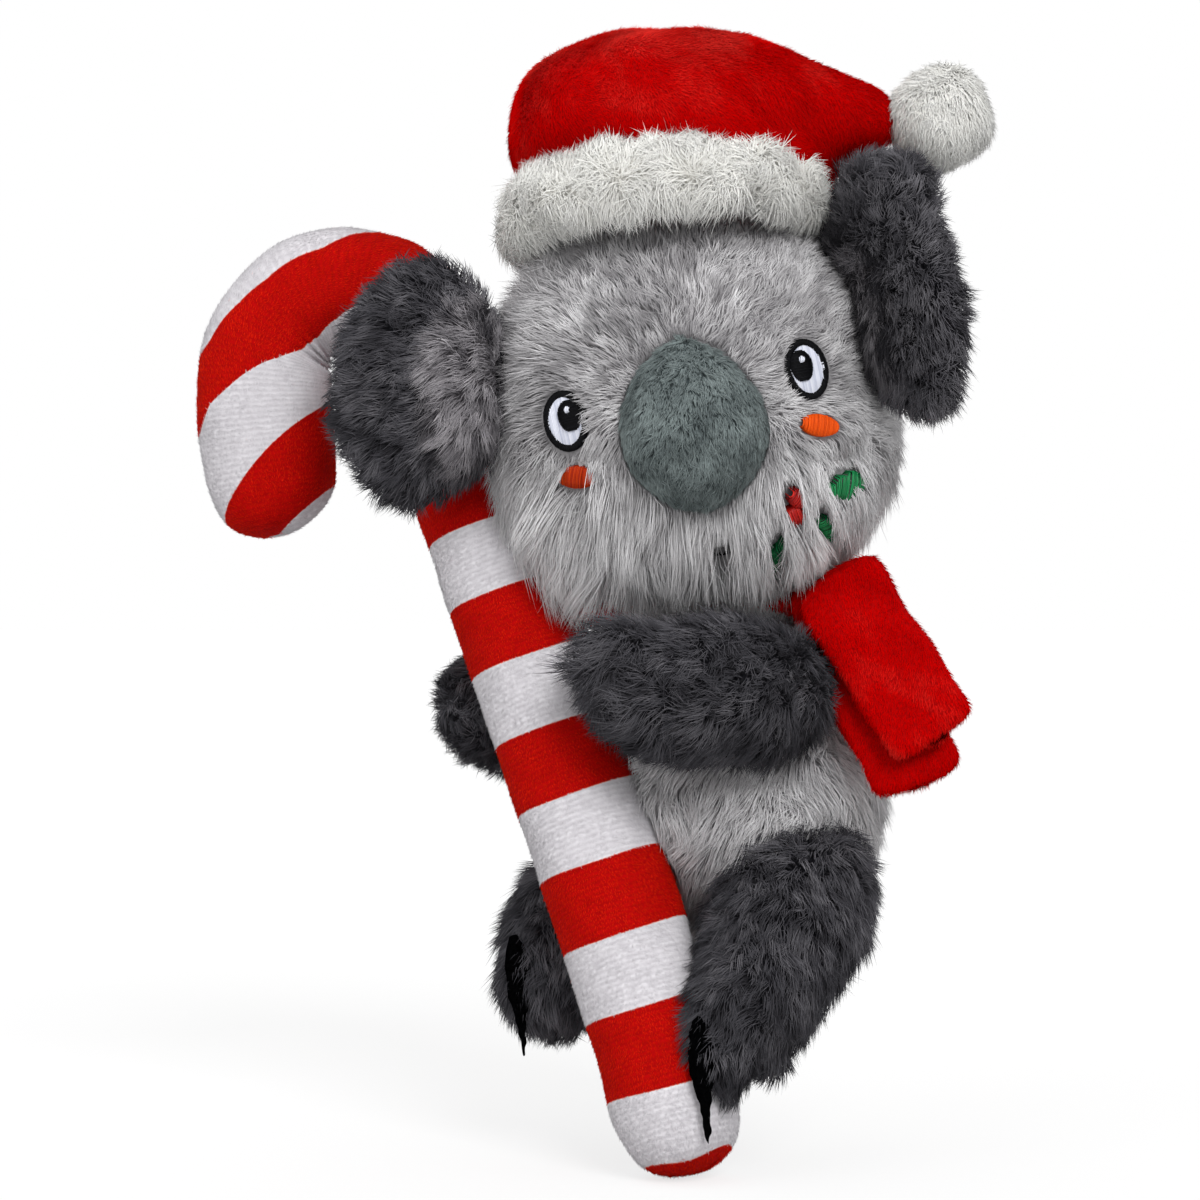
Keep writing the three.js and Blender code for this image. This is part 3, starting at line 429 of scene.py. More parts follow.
def grow(name, skin, body, slot, material, pile, comb, seed, shade, keep=None, length=None, push=(),
         windows=()):
    """Grows a pile on a skin. comb, shade, keep and length are functions of the roots and their normals."""
    rng = np.random.default_rng(seed)
    corners, weights = scattered(skin, pile.density, rng)

    def at_roots(values):
        return (values[corners] * weights).sum(1)

    roots, normals = at_roots(skin.v), unit(at_roots(skin.n))
    kept = np.ones(len(roots), bool) if keep is None else keep(roots, normals)
    if skin.place is not None:
        skin.rooted = at_roots(skin.place)[kept]
    roots, normals = roots[kept], normals[kept]
    paths = strand_paths(pile, roots, normals, comb, length, rng)
    paths, tone = clumped(paths, roots, pile, rng)
    for form, room in push:
        paths = pushed_out(paths, form, room)
    taper = np.r_[np.interp(np.linspace(0, 1, pile.segments + 1)[:-1], *TAPER), 0]
    thick = pile.radius * rng.uniform(0.75, 1.2, len(roots))[:, None] * taper[None]
    tint = np.clip(shade(roots, normals, tone, rng), 0, 1)
    if windows:
        left = trimmed(paths, windows, rng)
        paths = paths[:, :1] + (paths - paths[:, :1]) * left[:, None, None]
        paths, thick, tint, normals = (x[left > 0.25] for x in (paths, thick, tint, normals))
    count = len(paths)
    pieces = math.ceil(count / (MOST_FACES // (4 + 6 * (pile.segments - 1))))
    for n in range(pieces):
        part = slice(n * count // pieces, (n + 1) * count // pieces)
        vertices, faces, along, block, looks = strand_mesh(paths[part], thick[part], normals[part], pile.soft)
        tints = np.repeat(tint[part], block)
        label = name if pieces == 1 else f"{name}_{n + 1}"
        uv = bake_map(tints, along, block)
        make_mesh(label, vertices, faces, material, body, tints, along, uv, looks)


def pushed_out(paths, form, room):
    """Moves what lies in a form straight out of it, from the form's own spine."""
    flat = paths.reshape(-1, 3)
    k = np.linspace(0, 1, 241)
    centres, tangents, _, _ = form.frame(k)
    reach = max(form.half) + room
    low, high = centres.min(0) - reach, centres.max(0) + reach
    close = np.flatnonzero(((flat > low) & (flat < high)).all(1))
    for start in range(0, len(close), 20000):
        ids = close[start : start + 20000]
        p = flat[ids]
        near = ((p[:, None] - centres[None]) ** 2).sum(-1).argmin(1)
        off = p - centres[near]
        off = off - tangents[near] * dot(off, tangents[near])
        away = np.linalg.norm(off, axis=1)
        size = form.size(k[near]) * form.half[0] + room
        ahead = dot(p - centres[near], tangents[near])[:, 0]
        held = (away < size) & (np.abs(ahead) < 4)
        flat[ids[held]] = flat[ids[held]] + unit(off[held]) * (size - away)[held, None]
    return flat.reshape(paths.shape)


# Materials


def linear(*rgb):
    """A colour given as it looks, 0 to 255, as the shader wants it."""
    c = np.array(rgb, float) / 255
    c = np.where(c <= 0.04045, c / 12.92, ((c + 0.055) / 1.055) ** 2.4)
    return (*[float(x) for x in c], 1.0)


def new_material(name, roughness, specular, sheen=0.0):
    material = bpy.data.materials.new(name)
    material.use_nodes = True
    nodes = material.node_tree.nodes
    shader = nodes["Principled BSDF"]
    shader.inputs["Roughness"].default_value = roughness
    shader.inputs["Specular IOR Level"].default_value = specular
    shader.inputs["Sheen Weight"].default_value = sheen
    shader.inputs["Sheen Roughness"].default_value = 0.5
    return material, nodes, material.node_tree.links, shader


def ramp(nodes, *stops):
    """A colour ramp whose stops are a place and a colour each, as it looks, from 0 to 255."""
    node = nodes.new("ShaderNodeValToRGB")
    elements = node.color_ramp.elements
    while len(elements) > 1:
        elements.remove(elements[-1])
    elements[0].position = stops[0][0]
    for place, *_ in stops[1:]:
        elements.new(place)
    for element, (_, *colour) in zip(elements, stops):
        element.color = linear(*colour)
    return node


def attribute(nodes, name):
    node = nodes.new("ShaderNodeAttribute")
    node.attribute_name = name
    return node.outputs["Fac"]


def pile_material(name, roots, tips, fade=(0.15, 0.85), specular=0.05, sheen=0.0):
    """Pile: one ramp of root colours and one of tip colours over shade, mixed along each strand."""
    material, nodes, links, shader = new_material(name, 0.85, specular, sheen)
    blend = ramp(nodes, (fade[0], 0, 0, 0), (fade[1], 255, 255, 255))
    links.new(attribute(nodes, ALONG), blend.inputs["Fac"])
    mix = nodes.new("ShaderNodeMix")
    mix.data_type = "RGBA"
    links.new(blend.outputs["Color"], mix.inputs["Factor"])
    for stops, socket in ((roots, "A"), (tips, "B")):
        colours = ramp(nodes, *stops)
        links.new(attribute(nodes, SHADE), colours.inputs["Fac"])
        links.new(colours.outputs["Color"], mix.inputs[socket])
    links.new(mix.outputs["Result"], shader.inputs["Base Color"])
    return material


def object_noise(nodes, links, scale, detail):
    noise = nodes.new("ShaderNodeTexNoise")
    noise.inputs["Scale"].default_value = scale
    noise.inputs["Detail"].default_value = detail
    links.new(nodes.new("ShaderNodeTexCoord").outputs["Object"], noise.inputs["Vector"])
    return noise.outputs["Fac"]


def add_bump(nodes, links, shader, height, strength, distance):
    bumps = nodes.new("ShaderNodeBump")
    bumps.inputs["Strength"].default_value = strength
    bumps.inputs["Distance"].default_value = distance * MM
    links.new(height, bumps.inputs["Height"])
    links.new(bumps.outputs["Normal"], shader.inputs["Normal"])


def cloth_material(name, dark, light, scale=900, roughness=0.9, specular=0.05):
    """Cloth under the pile: noise between two colours, with a fine weave in the bump."""
    material, nodes, links, shader = new_material(name, roughness, specular)
    noise = object_noise(nodes, links, scale, 4)
    colours = ramp(nodes, (0.3, *dark), (0.7, *light))
    links.new(noise, colours.inputs["Fac"])
    links.new(colours.outputs["Color"], shader.inputs["Base Color"])
    add_bump(nodes, links, shader, noise, 0.3, 0.4)
    return material


def thread_material(name, dark, light, roughness=0.38, specular=0.3):
    """Embroidery thread: a slight change of colour from thread to thread and a silky gloss."""
    material, nodes, links, shader = new_material(name, roughness, specular)
    colours = ramp(nodes, (0.0, *dark), (1.0, *light))
    links.new(attribute(nodes, SHADE), colours.inputs["Fac"])
    links.new(colours.outputs["Color"], shader.inputs["Base Color"])
    return material


LIGHT_FUR = pile_material(
    "light_fur_pile",
    [(0.0, 112, 110, 112), (0.5, 154, 152, 154), (1.0, 206, 204, 206)],
    [(0.0, 156, 154, 156), (0.4, 200, 198, 200), (1.0, 252, 251, 252)],
    (0.15, 0.8),
)
DARK_FUR = pile_material(
    "dark_fur_pile",
    [(0.0, 28, 27, 30), (0.5, 44, 43, 47), (1.0, 66, 65, 69)],
    [(0.0, 56, 55, 59), (0.5, 84, 83, 88), (1.0, 124, 122, 127)],
    (0.2, 0.85),
)
EAR_PILE = pile_material(
    "ear_lining_pile",
    [(0.0, 28, 27, 30), (0.3, 66, 63, 67), (1.0, 136, 132, 136)],
    [(0.0, 50, 49, 53), (0.3, 118, 115, 119), (1.0, 206, 202, 206)],
    sheen=0.05,
)
NOSE_PILE = pile_material(
    "nose_pile", [(0.0, 48, 54, 55), (1.0, 100, 110, 110)], [(0.0, 82, 91, 92), (1.0, 170, 183, 182)]
)
RED_PILE = pile_material(
    "red_pile",
    [(0.0, 172, 0, 0), (1.0, 212, 2, 2)],
    [(0.0, 196, 0, 0), (0.55, 222, 2, 2), (1.0, 252, 58, 50)],
    specular=0.0,
)
WHITE_PILE = pile_material(
    "white_pile",
    [(0.0, 232, 230, 222), (1.0, 250, 248, 240)],
    [(0.0, 248, 247, 240), (1.0, 255, 255, 252)],
    sheen=0.15,
)
CANE_PILE = pile_material(
    "cane_pile",
    [(0.0, 164, 162, 166), (0.44, 220, 217, 221), (0.48, 206, 110, 92), (0.52, 146, 0, 0),
     (1.0, 222, 18, 8)],
    [(0.0, 182, 180, 184), (0.44, 242, 239, 243), (0.48, 220, 134, 114), (0.52, 158, 1, 0),
     (1.0, 252, 54, 22)],
    specular=0.0,
)
LIGHT_SKIN = cloth_material("light_fur_cloth", (120, 118, 120), (150, 148, 150))
DARK_SKIN = cloth_material("dark_fur_cloth", (22, 22, 26), (40, 40, 45))
EAR_SKIN = cloth_material("ear_lining_cloth", (80, 77, 80), (110, 107, 110))
NOSE_SKIN = cloth_material("nose_cloth", (60, 68, 70), (90, 99, 100))
RED_SKIN = cloth_material("red_cloth", (140, 0, 2), (180, 3, 3))
WHITE_SKIN = cloth_material("white_cloth", (214, 212, 206), (238, 236, 230))
FELT = cloth_material("black_felt", (1, 1, 1), (5, 5, 6), 1400, 1.0, 0.0)
BLACK_THREAD = thread_material("black_thread", (1, 1, 2), (9, 9, 14), 0.6, 0.12)
WHITE_THREAD = thread_material("white_thread", (196, 200, 216), (232, 234, 244))
ORANGE_THREAD = thread_material("orange_thread", (150, 24, 10), (242, 92, 14), 0.5, 0.12)
GREEN_THREAD = thread_material("green_thread", (4, 92, 48), (22, 150, 84))
RED_THREAD = thread_material("red_thread", (160, 10, 14), (226, 44, 34))

# Forms of the part


def radians_of(*degrees):
    return [math.radians(d) for d in degrees]


tilt = math.radians(HEAD["tilt"])
HEAD_UP = np.array([-math.sin(tilt), 0, math.cos(tilt)])
HEAD_LEFT = np.cross(BACK, HEAD_UP)
SEAT = np.array([TORSO["lean"] / 2, 0, TORSO["base"]])
CHIN = np.array([HEAD["side"], TORSO["depth"] / 2 - HEAD["depth"] / 2, NECK[2] - HEAD["sink"]])
HEAD_TOP = CHIN + HEAD_UP * HEAD["height"]
HEAD_MIDDLE = (CHIN + HEAD_TOP) / 2

torso_spine = [SEAT, (SEAT + NECK) / 2, NECK]
torso = Loft(torso_spine, TORSO["width"], TORSO["depth"], [0.96, 1, 0.99, 0.92, 0.8, 0.66], (2.6, 3))
head_spine = [CHIN, HEAD_MIDDLE, HEAD_TOP]
head = Loft(head_spine, HEAD["width"], HEAD["depth"], [0.98, 1.01, 1, 0.97, 0.9, 0.8], (2.8, 2.3))

NOSE = dict(height=46, width=38, depth=32, proud=16, low=10.5, tilt=9)
nose_middle = HEAD_MIDDLE + [0, -HEAD["depth"] / 2 - NOSE["proud"] + NOSE["depth"] / 2, -NOSE["low"]]
nose_lean = math.radians(NOSE["tilt"])
nose_up = np.array([-math.sin(nose_lean), 0, math.cos(nose_lean)])
nose_foot = nose_middle - nose_up * NOSE["height"] / 2
nose_spine = [nose_foot, nose_middle, nose_middle + nose_up * NOSE["height"] / 2]
nose = Loft(nose_spine, NOSE["width"], NOSE["depth"], [0.92, 1, 1, 0.88, 0.68], (2.2, 2.4))

halves = np.array([TORSO["width"] / 2, TORSO["depth"] / 2, TORSO["height"]])
torso_foot = np.array([0, 0, TORSO["base"]])
ARM = dict(length=72, size=(35, 28), swell=[0.62, 0.84, 0.98, 1, 0.96, 0.88])
LEG = dict(length=78, size=(40, 36), swell=[0.8, 1, 1, 0.9, 0.8])


def limb(kind, root_shares, table):
    root = torso_foot + np.array(root_shares) * halves
    spine = [root + np.array(row) * kind["length"] for row in table]
    return Loft(spine, *kind["size"], kind["swell"], (4, 3))


arm_left = limb(ARM, [0.6, -0.36, 0.68],
                [[0, 0, 0], [-0.1, -0.27, 0.01], [-0.4, -0.47, 0.03], [-0.8, -0.52, 0.01]])
arm_right = limb(ARM, [-0.68, 0.42, 0.66],
                 [[0, 0, 0], [-0.25, 0.06, -0.01], [-0.45, 0.02, -0.04], [-0.52, -0.18, -0.07]])
leg_left = limb(LEG, [0.7, -0.26, 0.22],
                [[0.02, 0.02, 0.09], [-0.09, -0.24, -0.12], [-0.18, -0.41, -0.36], [-0.33, -0.54, -0.59],
                 [-0.37, -0.56, -0.78]])
leg_right = limb(LEG, [-0.68, 0.22, 0.19],
                 [[0.02, 0, 0.06], [-0.06, -0.05, -0.16], [-0.13, -0.13, -0.32], [-0.19, -0.18, -0.45],
                  [-0.2, -0.21, -0.56]])

EAR = dict(heights=(62, 67), width=43, thickness=15, sink=3, swell=[0.9, 1, 1, 0.96, 0.84])
LEFT_FOLD = 65
right_ear_root = HEAD_MIDDLE + [5 - HEAD["width"] / 2, -18, 1]
left_ear_root = HEAD_MIDDLE + [HEAD["width"] / 2 - 6, -9, 26]
ear_reach = np.array([EAR["width"] / 2 - EAR["sink"], 0, 0])


def fold_left(points):
    return turn(points, left_ear_root + ORIGIN, UP, -LEFT_FOLD)


def ear_form(middle, lean, height, after=None):
    a = math.radians(lean)
    up = np.array([math.sin(a), 0, math.cos(a)])
    spine = [middle + up * height * share for share in (-0.5, 0, 0.5)]
    return Loft(spine, EAR["width"], EAR["thickness"], EAR["swell"], (2.4, 2.4), 2.2, after)


ear_right = ear_form(right_ear_root - ear_reach, 6, EAR["heights"][0])
ear_left = ear_form(left_ear_root + ear_reach, -26, EAR["heights"][1], fold_left)

CUFF = dict(width=88, depth=86, height=17, thickness=13, pitch=9, tilt=5)
CUFF_SHARE = 0.93  # of the head's height, up from the chin
CROWN = dict(width=88, depth=80, height=49, skirt=6, lean=11)
TAIL = dict(width=52, reach=64)
POMPOM = dict(width=24, seat=3.5, rise=3)
cuff_tilt, cuff_pitch = radians_of(CUFF["tilt"], CUFF["pitch"])
cuff_up = unit(np.array([-math.sin(cuff_tilt), math.sin(cuff_pitch), 1]))
cuff_middle = CHIN + (HEAD_TOP - CHIN) * CUFF_SHARE + [4, -2, 0]
cuff = Ring(cuff_middle, **CUFF)
crown_top = cuff_middle + cuff_up * CROWN["height"] + [CROWN["lean"], 0, 0]
crown_foot = cuff_middle - cuff_up * CROWN["skirt"]
dome_spine = [crown_foot, (crown_foot + crown_top) / 2, crown_top]
dome = Loft(dome_spine, CROWN["width"], CROWN["depth"], [0.93, 1, 1, 0.96, 0.9], (3.4, 2.6))
tail_shares = [[0.1, -0.02, 0.32], [0.34, -0.03, 0.36], [0.55, -0.05, 0.37], [0.8, -0.06, 0.385],
               [1, -0.06, 0.345]]
tail_route = [cuff_middle + np.array(row) * TAIL["reach"] for row in tail_shares]
tail = Loft(tail_route, TAIL["width"], TAIL["width"], [1, 0.98, 0.86, 0.62, 0.44, 0.32], (6, 6))
pompom_middle = tail_route[-1] + [POMPOM["width"] / 2 - POMPOM["seat"], 0, POMPOM["rise"]]
pompom_spine = [pompom_middle + [0, 0, share * POMPOM["width"]] for share in (-0.5, 0, 0.5)]
pompom = Loft(pompom_spine, POMPOM["width"], POMPOM["width"], [1, 1, 1])

BAND = dict(width=82, depth=70, height=13, thickness=14)
BAND_LOW = 6.5  # under the neck
SCARF_TAIL = dict(width=25.5, thickness=7, around=40, high=8, forward=12, gap=0.3)
scarf_middle = np.array([NECK[0], 0, NECK[2] - BAND_LOW])
band = Ring(scarf_middle, **BAND)
knot_angle = math.radians(SCARF_TAIL["around"])
knot_ahead = (BAND["depth"] + SCARF_TAIL["thickness"]) / 2 * math.sin(knot_angle)
scarf_knot = scarf_middle + [BAND["width"] / 2 * math.cos(knot_angle), -knot_ahead, SCARF_TAIL["high"]]
upper_knot = scarf_knot - [0, SCARF_TAIL["thickness"] + SCARF_TAIL["gap"], 0]


def scarf_tail(knot, length, lean):
    a, b = radians_of(lean, SCARF_TAIL["forward"])
    down = unit(np.array([math.sin(a), -math.sin(b), -math.cos(a)]))
    spine = [knot + down * length * share for share in (0, 0.5, 1)]
    return Loft(spine, SCARF_TAIL["width"], SCARF_TAIL["thickness"], [1, 1], (24, 24), 4.5)


tail_lower = scarf_tail(scarf_knot, 62, 23)
tail_upper = scarf_tail(upper_knot, 53, 33)

CANE = dict(height=247, diameter=34.5, gap=13, drop=43, toe=5, lean=19.2, slant=17.5, press=19.5,
            press_share=0.46, bend=3.5, bend_share=0.7)


def cane_points():
    r = CANE["diameter"] / 2
    hook_r = (CANE["diameter"] + CANE["gap"]) / 2
    lean, slant = radians_of(CANE["lean"], CANE["slant"])
    hook_z = CANE["height"] - r - hook_r
    top_z = hook_z + hook_r * math.sin(lean)
    press_z = TORSO["base"] + CANE["press_share"] * TORSO["height"]
    top = np.array([-(TORSO["width"] / 2 + r - CANE["press"]) - (top_z - press_z) * math.tan(lean),
                    TORSO["depth"] / 2 - r, top_z])
    middle = top[0] - hook_r * math.cos(lean)
    points = [[middle - hook_r + CANE["toe"], top[1], hook_z - CANE["drop"]],
              [middle - hook_r + CANE["toe"] / 4, top[1], hook_z - CANE["drop"] / 2]]
    for i in range(8):
        a = math.pi - (math.pi - lean) * i / 7
        points.append([middle + hook_r * math.cos(a), top[1], hook_z + hook_r * math.sin(a)])
    for i in range(1, 7):
        share = i / 6
        drop = top_z * share
        bend = CANE["bend"] * max(0, (share - CANE["bend_share"]) / (1 - CANE["bend_share"])) ** 2
        points.append([top[0] + drop * math.tan(lean) - bend, top[1] - drop * math.tan(slant), top_z - drop])
    return np.array(points)


cane = Loft(cane_points(), CANE["diameter"], CANE["diameter"], [1, 1], (26, 26))
CLAW = dict(width=6.4, thickness=4.4, length=32)


def claw_form(leg, shares):
    foot = leg.line[-1] - ORIGIN
    top = foot + np.array(shares) * [LEG["size"][0] / 2, LEG["size"][1] / 2, -LEG["length"]]
    down = np.array([0.08, 0, -1]) * CLAW["length"]
    spine = [top, top + down / 2, top + down]
    return Loft(spine, CLAW["width"], CLAW["thickness"], [0.8, 1, 1, 0.95, 0.5, 0.32, 0.3], (4, 6))


claw_left = claw_form(leg_left, [-0.24, -0.62, -0.34])
claw_right = claw_form(leg_right, [-0.5, -0.5, -0.36])

# The stuffed skins

SINK = 2.0  # how far a long pile's cloth lies inside the part's form, which is drawn halfway up the pile


def lumpy(skin, size, amount, seed):
    return skin.move(amount * waves(skin.v, size, seed))


def skin_of(form, rings, sides, grow_by, lump=22, amount=0.7, seed=1):
    return lumpy(Skin(*form.mesh(rings, sides, grow_by)), lump, amount, seed)


def show_skin(name, skin, material, body, nodes):
    obj = make_mesh(name, skin.v, skin.f, material, body)
    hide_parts(*nodes)
    return obj


def face_spot(left, up):
    """A place of the face as seen from the front, in the frame."""
    return HEAD_MIDDLE + ORIGIN + HEAD_LEFT * left + HEAD_UP * up


EYE = dict(height=15.5, width=11, spacing=62.3, rim=1.4, ring=1.5, low=2.5, side=2)
PUPIL = dict(height=8, width=6, inward=1.4, high=1, glint=1.6)
CHEEK = dict(height=5.6, width=9.5, drop=14.5)
eye_left = face_spot(-EYE["side"] + EYE["spacing"] / 2, -EYE["low"])
eye_right = face_spot(-EYE["side"] - EYE["spacing"] / 2, -EYE["low"])
cheek_left = eye_left - HEAD_UP * CHEEK["drop"]
cheek_right = eye_right - HEAD_UP * CHEEK["drop"]
holly = eye_left - HEAD_UP * 33 - HEAD_LEFT * 9.5
mouth = nose_foot + ORIGIN - HEAD_UP * 8 + HEAD_LEFT * 2


def flat_gap(points, spot, width, height, degrees):
    """How far out points lie from an oval's middle, seen from the front, as shares of its half size."""
    a = math.radians(degrees)
    x, z = points[:, 0] - spot[0], points[:, 2] - spot[2]
    u = x * math.cos(a) + z * math.sin(a)
    w = -x * math.sin(a) + z * math.cos(a)
    return np.hypot(u / (width / 2), w / (height / 2))


PATCHES = [
    (eye_left, EYE["width"], EYE["height"], HEAD["tilt"]),
    (eye_right, EYE["width"], EYE["height"], HEAD["tilt"]),
    (cheek_left, CHEEK["width"], CHEEK["height"], 0),
    (cheek_right, CHEEK["width"], CHEEK["height"], 0),
]
HOLLY_PATCH = (holly + HEAD_LEFT * 2, 30, 22, HEAD["tilt"])


def near_eye(right, up):
    return eye_left + np.array([right, 0, up])


# The ovals that strands stop short of: middle, width, height and turn. The embroidery shows there.
WINDOWS = [
    (eye_left, 11.2, 15.6, HEAD["tilt"]),
    (eye_right + np.array([-1.4, 0, 0.1]), 8.4, 15.4, HEAD["tilt"]),
    (cheek_left, 9.6, 5.8, 0),
    (cheek_right + np.array([-0.4, 0, 0.2]), 6.8, 6.2, 30),
    (near_eye(9.8, -26.6), 10.4, 3.4, 25),
    (near_eye(9.0, -27.4), 3.4, 7.4, -12),
    (near_eye(5.2, -37.6), 3.2, 7.6, 10),
    (near_eye(4.8, -39.0), 6.6, 2.8, -24),
    (near_eye(-3.9, -32.4), 5.2, 8.4, 0),
    (near_eye(-7.2, -45.0), 3.0, 11.6, -8),
    (near_eye(-7.4, -43.0), 5.4, 2.6, 24),
    (mouth + np.array([0, 0, -1.2]), 8.6, 2.6, 16),
]


def patch_gap(points):
    """Millimetres from the nearest embroidered patch, roughly, for points at the front of the head."""
    return np.min([(flat_gap(points, *oval) - 1) * min(oval[1:3]) / 2 for oval in PATCHES], axis=0)


head_skin = Skin(*head.mesh(150, 180, -SINK))
front = smooth(-head_skin.n[:, 1], 0.1, 0.4)
raised = np.maximum(1 - smooth(patch_gap(head_skin.v), 1.0, 5.0),
                    1 - smooth(flat_gap(head_skin.v, *HOLLY_PATCH), 0.8, 1.3)) * front
head_skin.move(0.8 * waves(head_skin.v, 26, 3) * (1 - raised) + (SINK - 0.1) * raised)
show_skin("head_cloth", head_skin, LIGHT_SKIN, "head", ["head"])
head_tree = BVHTree.FromPolygons([tuple(v) for v in head_skin.v], head_skin.f.tolist())


def on_head(points):
    """Points seen from the front, laid on the head's cloth, with the normals there."""
    placed, normals = [], []
    for p in points:
        hit, normal, _, _ = head_tree.ray_cast(Vector((p[0], -200.0, p[2])), Vector((0, 1, 0)))
        if hit is None:
            hit, normal, _, _ = head_tree.find_nearest(Vector(p))
        placed.append(hit[:])
        normals.append(normal[:] if normal[1] < 0 else (-normal)[:])
    return np.array(placed), np.array(normals)


torso_skin = skin_of(torso, 110, 140, -SINK, 26, 0.9, 4)
torso_skin.move(4.0 * smooth(torso_skin.n[:, 0], 0.2, 0.9) * smooth(torso_skin.v[:, 2], 66, 84)
                * (1 - smooth(torso_skin.v[:, 2], 100, 116)))
show_skin("torso_cloth", torso_skin, LIGHT_SKIN, "torso", ["torso"])
nose_skin = skin_of(nose, 70, 90, -1.7, 14, 0.3, 5)
show_skin("nose_cloth", nose_skin, NOSE_SKIN, "head", ["nose"])


def bent_leg(skin, form):
    """A fuller knee and a slimmer shin on the outer side."""
    outer, z = smooth(skin.n[:, 0], 0, 0.8), skin.v[:, 2]
    knee = smooth(z, 70, 82) * (1 - smooth(z, 90, 100))
    skin.move(outer * (2.4 * knee - 5.2 * smooth(70 - z, 0, 28)))


def square_hand(skin, form):
    """The end's upper corner drawn up and out."""
    corner = smooth(form.line[-1][0] + 20 - skin.v[:, 0], 0, 16) * smooth(skin.n[:, 2], -0.1, 0.6)
    skin.v += corner[:, None] * [-1.5, 0, 8.5]
    skin.refresh()


def broad_ear(skin, form):
    """Broader near the top and drawn towards the head there, with the foot let out and down."""
    centre = form.frame(skin.t)[0]
    wider = 0.94 + 0.66 * smooth(skin.t, 0.62, 0.93)
    skin.v = centre + (skin.v - centre) * wider[:, None]
    skin.move(0.7 * smooth(skin.t, 0.8, 1))
    top, foot = smooth(skin.t, 0.55, 0.9), 1 - smooth(skin.t, 0.08, 0.42)
    outer, inner, under = (smooth(side, -0.2, 0.6) for side in (skin.n[:, 0], -skin.n[:, 0], -skin.n[:, 2]))
    skin.v[:, 0] += 2.6 * foot * outer - 6.0 * top * inner
    skin.v[:, 2] += 1.8 * top - 2.6 * foot * under
    skin.refresh()


def far_ear(skin, form):
    """A little further from the head, and fuller."""
    skin.v[:, 0] -= 3.8
    skin.v[:, 2] += 2.2 * smooth(skin.t, 0.6, 1)
    skin.move(np.full(len(skin.v), 0.9))


LIMB_FORMS = dict(arm_left=arm_left, arm_right=arm_right, leg_left=leg_left, leg_right=leg_right,
                  ear_left=ear_left, ear_right=ear_right)
LIMB_CHANGES = dict(leg_left=bent_leg, arm_left=square_hand, ear_left=broad_ear, ear_right=far_ear)
limb_skins = {}
for seed, (name, form) in enumerate(LIMB_FORMS.items(), 11):
    limb_skins[name] = skin_of(form, 80, 80, -SINK, 18, 0.7, seed)
    if name in LIMB_CHANGES:
        LIMB_CHANGES[name](limb_skins[name], form)
    show_skin(f"{name}_cloth", limb_skins[name], DARK_SKIN, name, [name])

cuff_skin = lumpy(Skin(*cuff.mesh(220, 40, -1.8)), 12, 1.0, 21)
show_skin("hat_cuff_cloth", cuff_skin, WHITE_SKIN, "head", ["hat_cuff"])
pompom_skin = skin_of(pompom, 40, 50, -0.3, 14, 0.7, 22)
show_skin("pompom_core", pompom_skin, WHITE_SKIN, "pompom", ["pompom"])


def joined_crown():
    """The hat's dome and its tail, melted into one smooth closed form."""
    a, fa = dome.mesh(60, 80, -1.2)[:2]
    b, fb = tail.mesh(60, 60, -1.2)[:2]
    mesh = bpy.data.meshes.new("crown")
    mesh.from_pydata(np.vstack([a, b]).tolist(), [], np.vstack([fa, fb + len(a)]).tolist())
    obj = bpy.data.objects.new("crown", mesh)
    bpy.context.scene.collection.objects.link(obj)
    remesh = obj.modifiers.new("remesh", "REMESH")
    remesh.mode, remesh.voxel_size = "VOXEL", 1.3
    even = obj.modifiers.new("even", "SMOOTH")
    even.factor, even.iterations = 0.5, 22
    bpy.context.view_layer.update()
    done = obj.evaluated_get(bpy.context.evaluated_depsgraph_get()).to_mesh()
    done.calc_loop_triangles()
    v = np.zeros(len(done.vertices) * 3)
    done.vertices.foreach_get("co", v)
    f = np.zeros(len(done.loop_triangles) * 3, np.int32)
    done.loop_triangles.foreach_get("vertices", f)
    bpy.data.objects.remove(obj)
    bpy.data.meshes.remove(mesh)
    v, f = v.reshape(-1, 3), f.reshape(-1, 3)
    order = np.argsort(v[f[:, 0], 0] // 3 * 1000 + v[f[:, 0], 2], kind="stable")
    return Skin(v, f[order])


crown_skin = joined_crown()
crown_off = (crown_skin.v - cuff.middle) @ cuff_up
crown_skin.move(0.7 * waves(crown_skin.v, 24, 31) + 2.0 * smooth(-crown_skin.n[:, 0], 0.3, 0.9)
                - 5.0 * smooth(-crown_off, -1, 5))
show_skin("hat_crown_cloth", crown_skin, RED_SKIN, "head", ["hat_crown"])

band_skin = Skin(*band.mesh(200, 36, -1.0))
band_off = band_skin.v - band.middle
band_skin.move(-5.6 * smooth(-band_off[:, 1], 0, 24) * smooth(30 - np.abs(band_off[:, 0]), 0, 16))
band_piece = show_skin("scarf_band_cloth", band_skin, RED_SKIN, "torso", ["scarf_band"])
lower_skin = skin_of(tail_lower, 90, 90, -1.0, 20, 0.8, 33)
lower_piece = show_skin("scarf_tail_lower_cloth", lower_skin, RED_SKIN, "scarf_lower",
                        ["scarf_tail_lower"])
upper_skin = skin_of(tail_upper, 90, 90, -1.0, 20, 0.9, 34)
upper_piece = show_skin("scarf_tail_upper_cloth", upper_skin, RED_SKIN, "scarf_upper",
                        ["scarf_tail_upper"])

# The cane

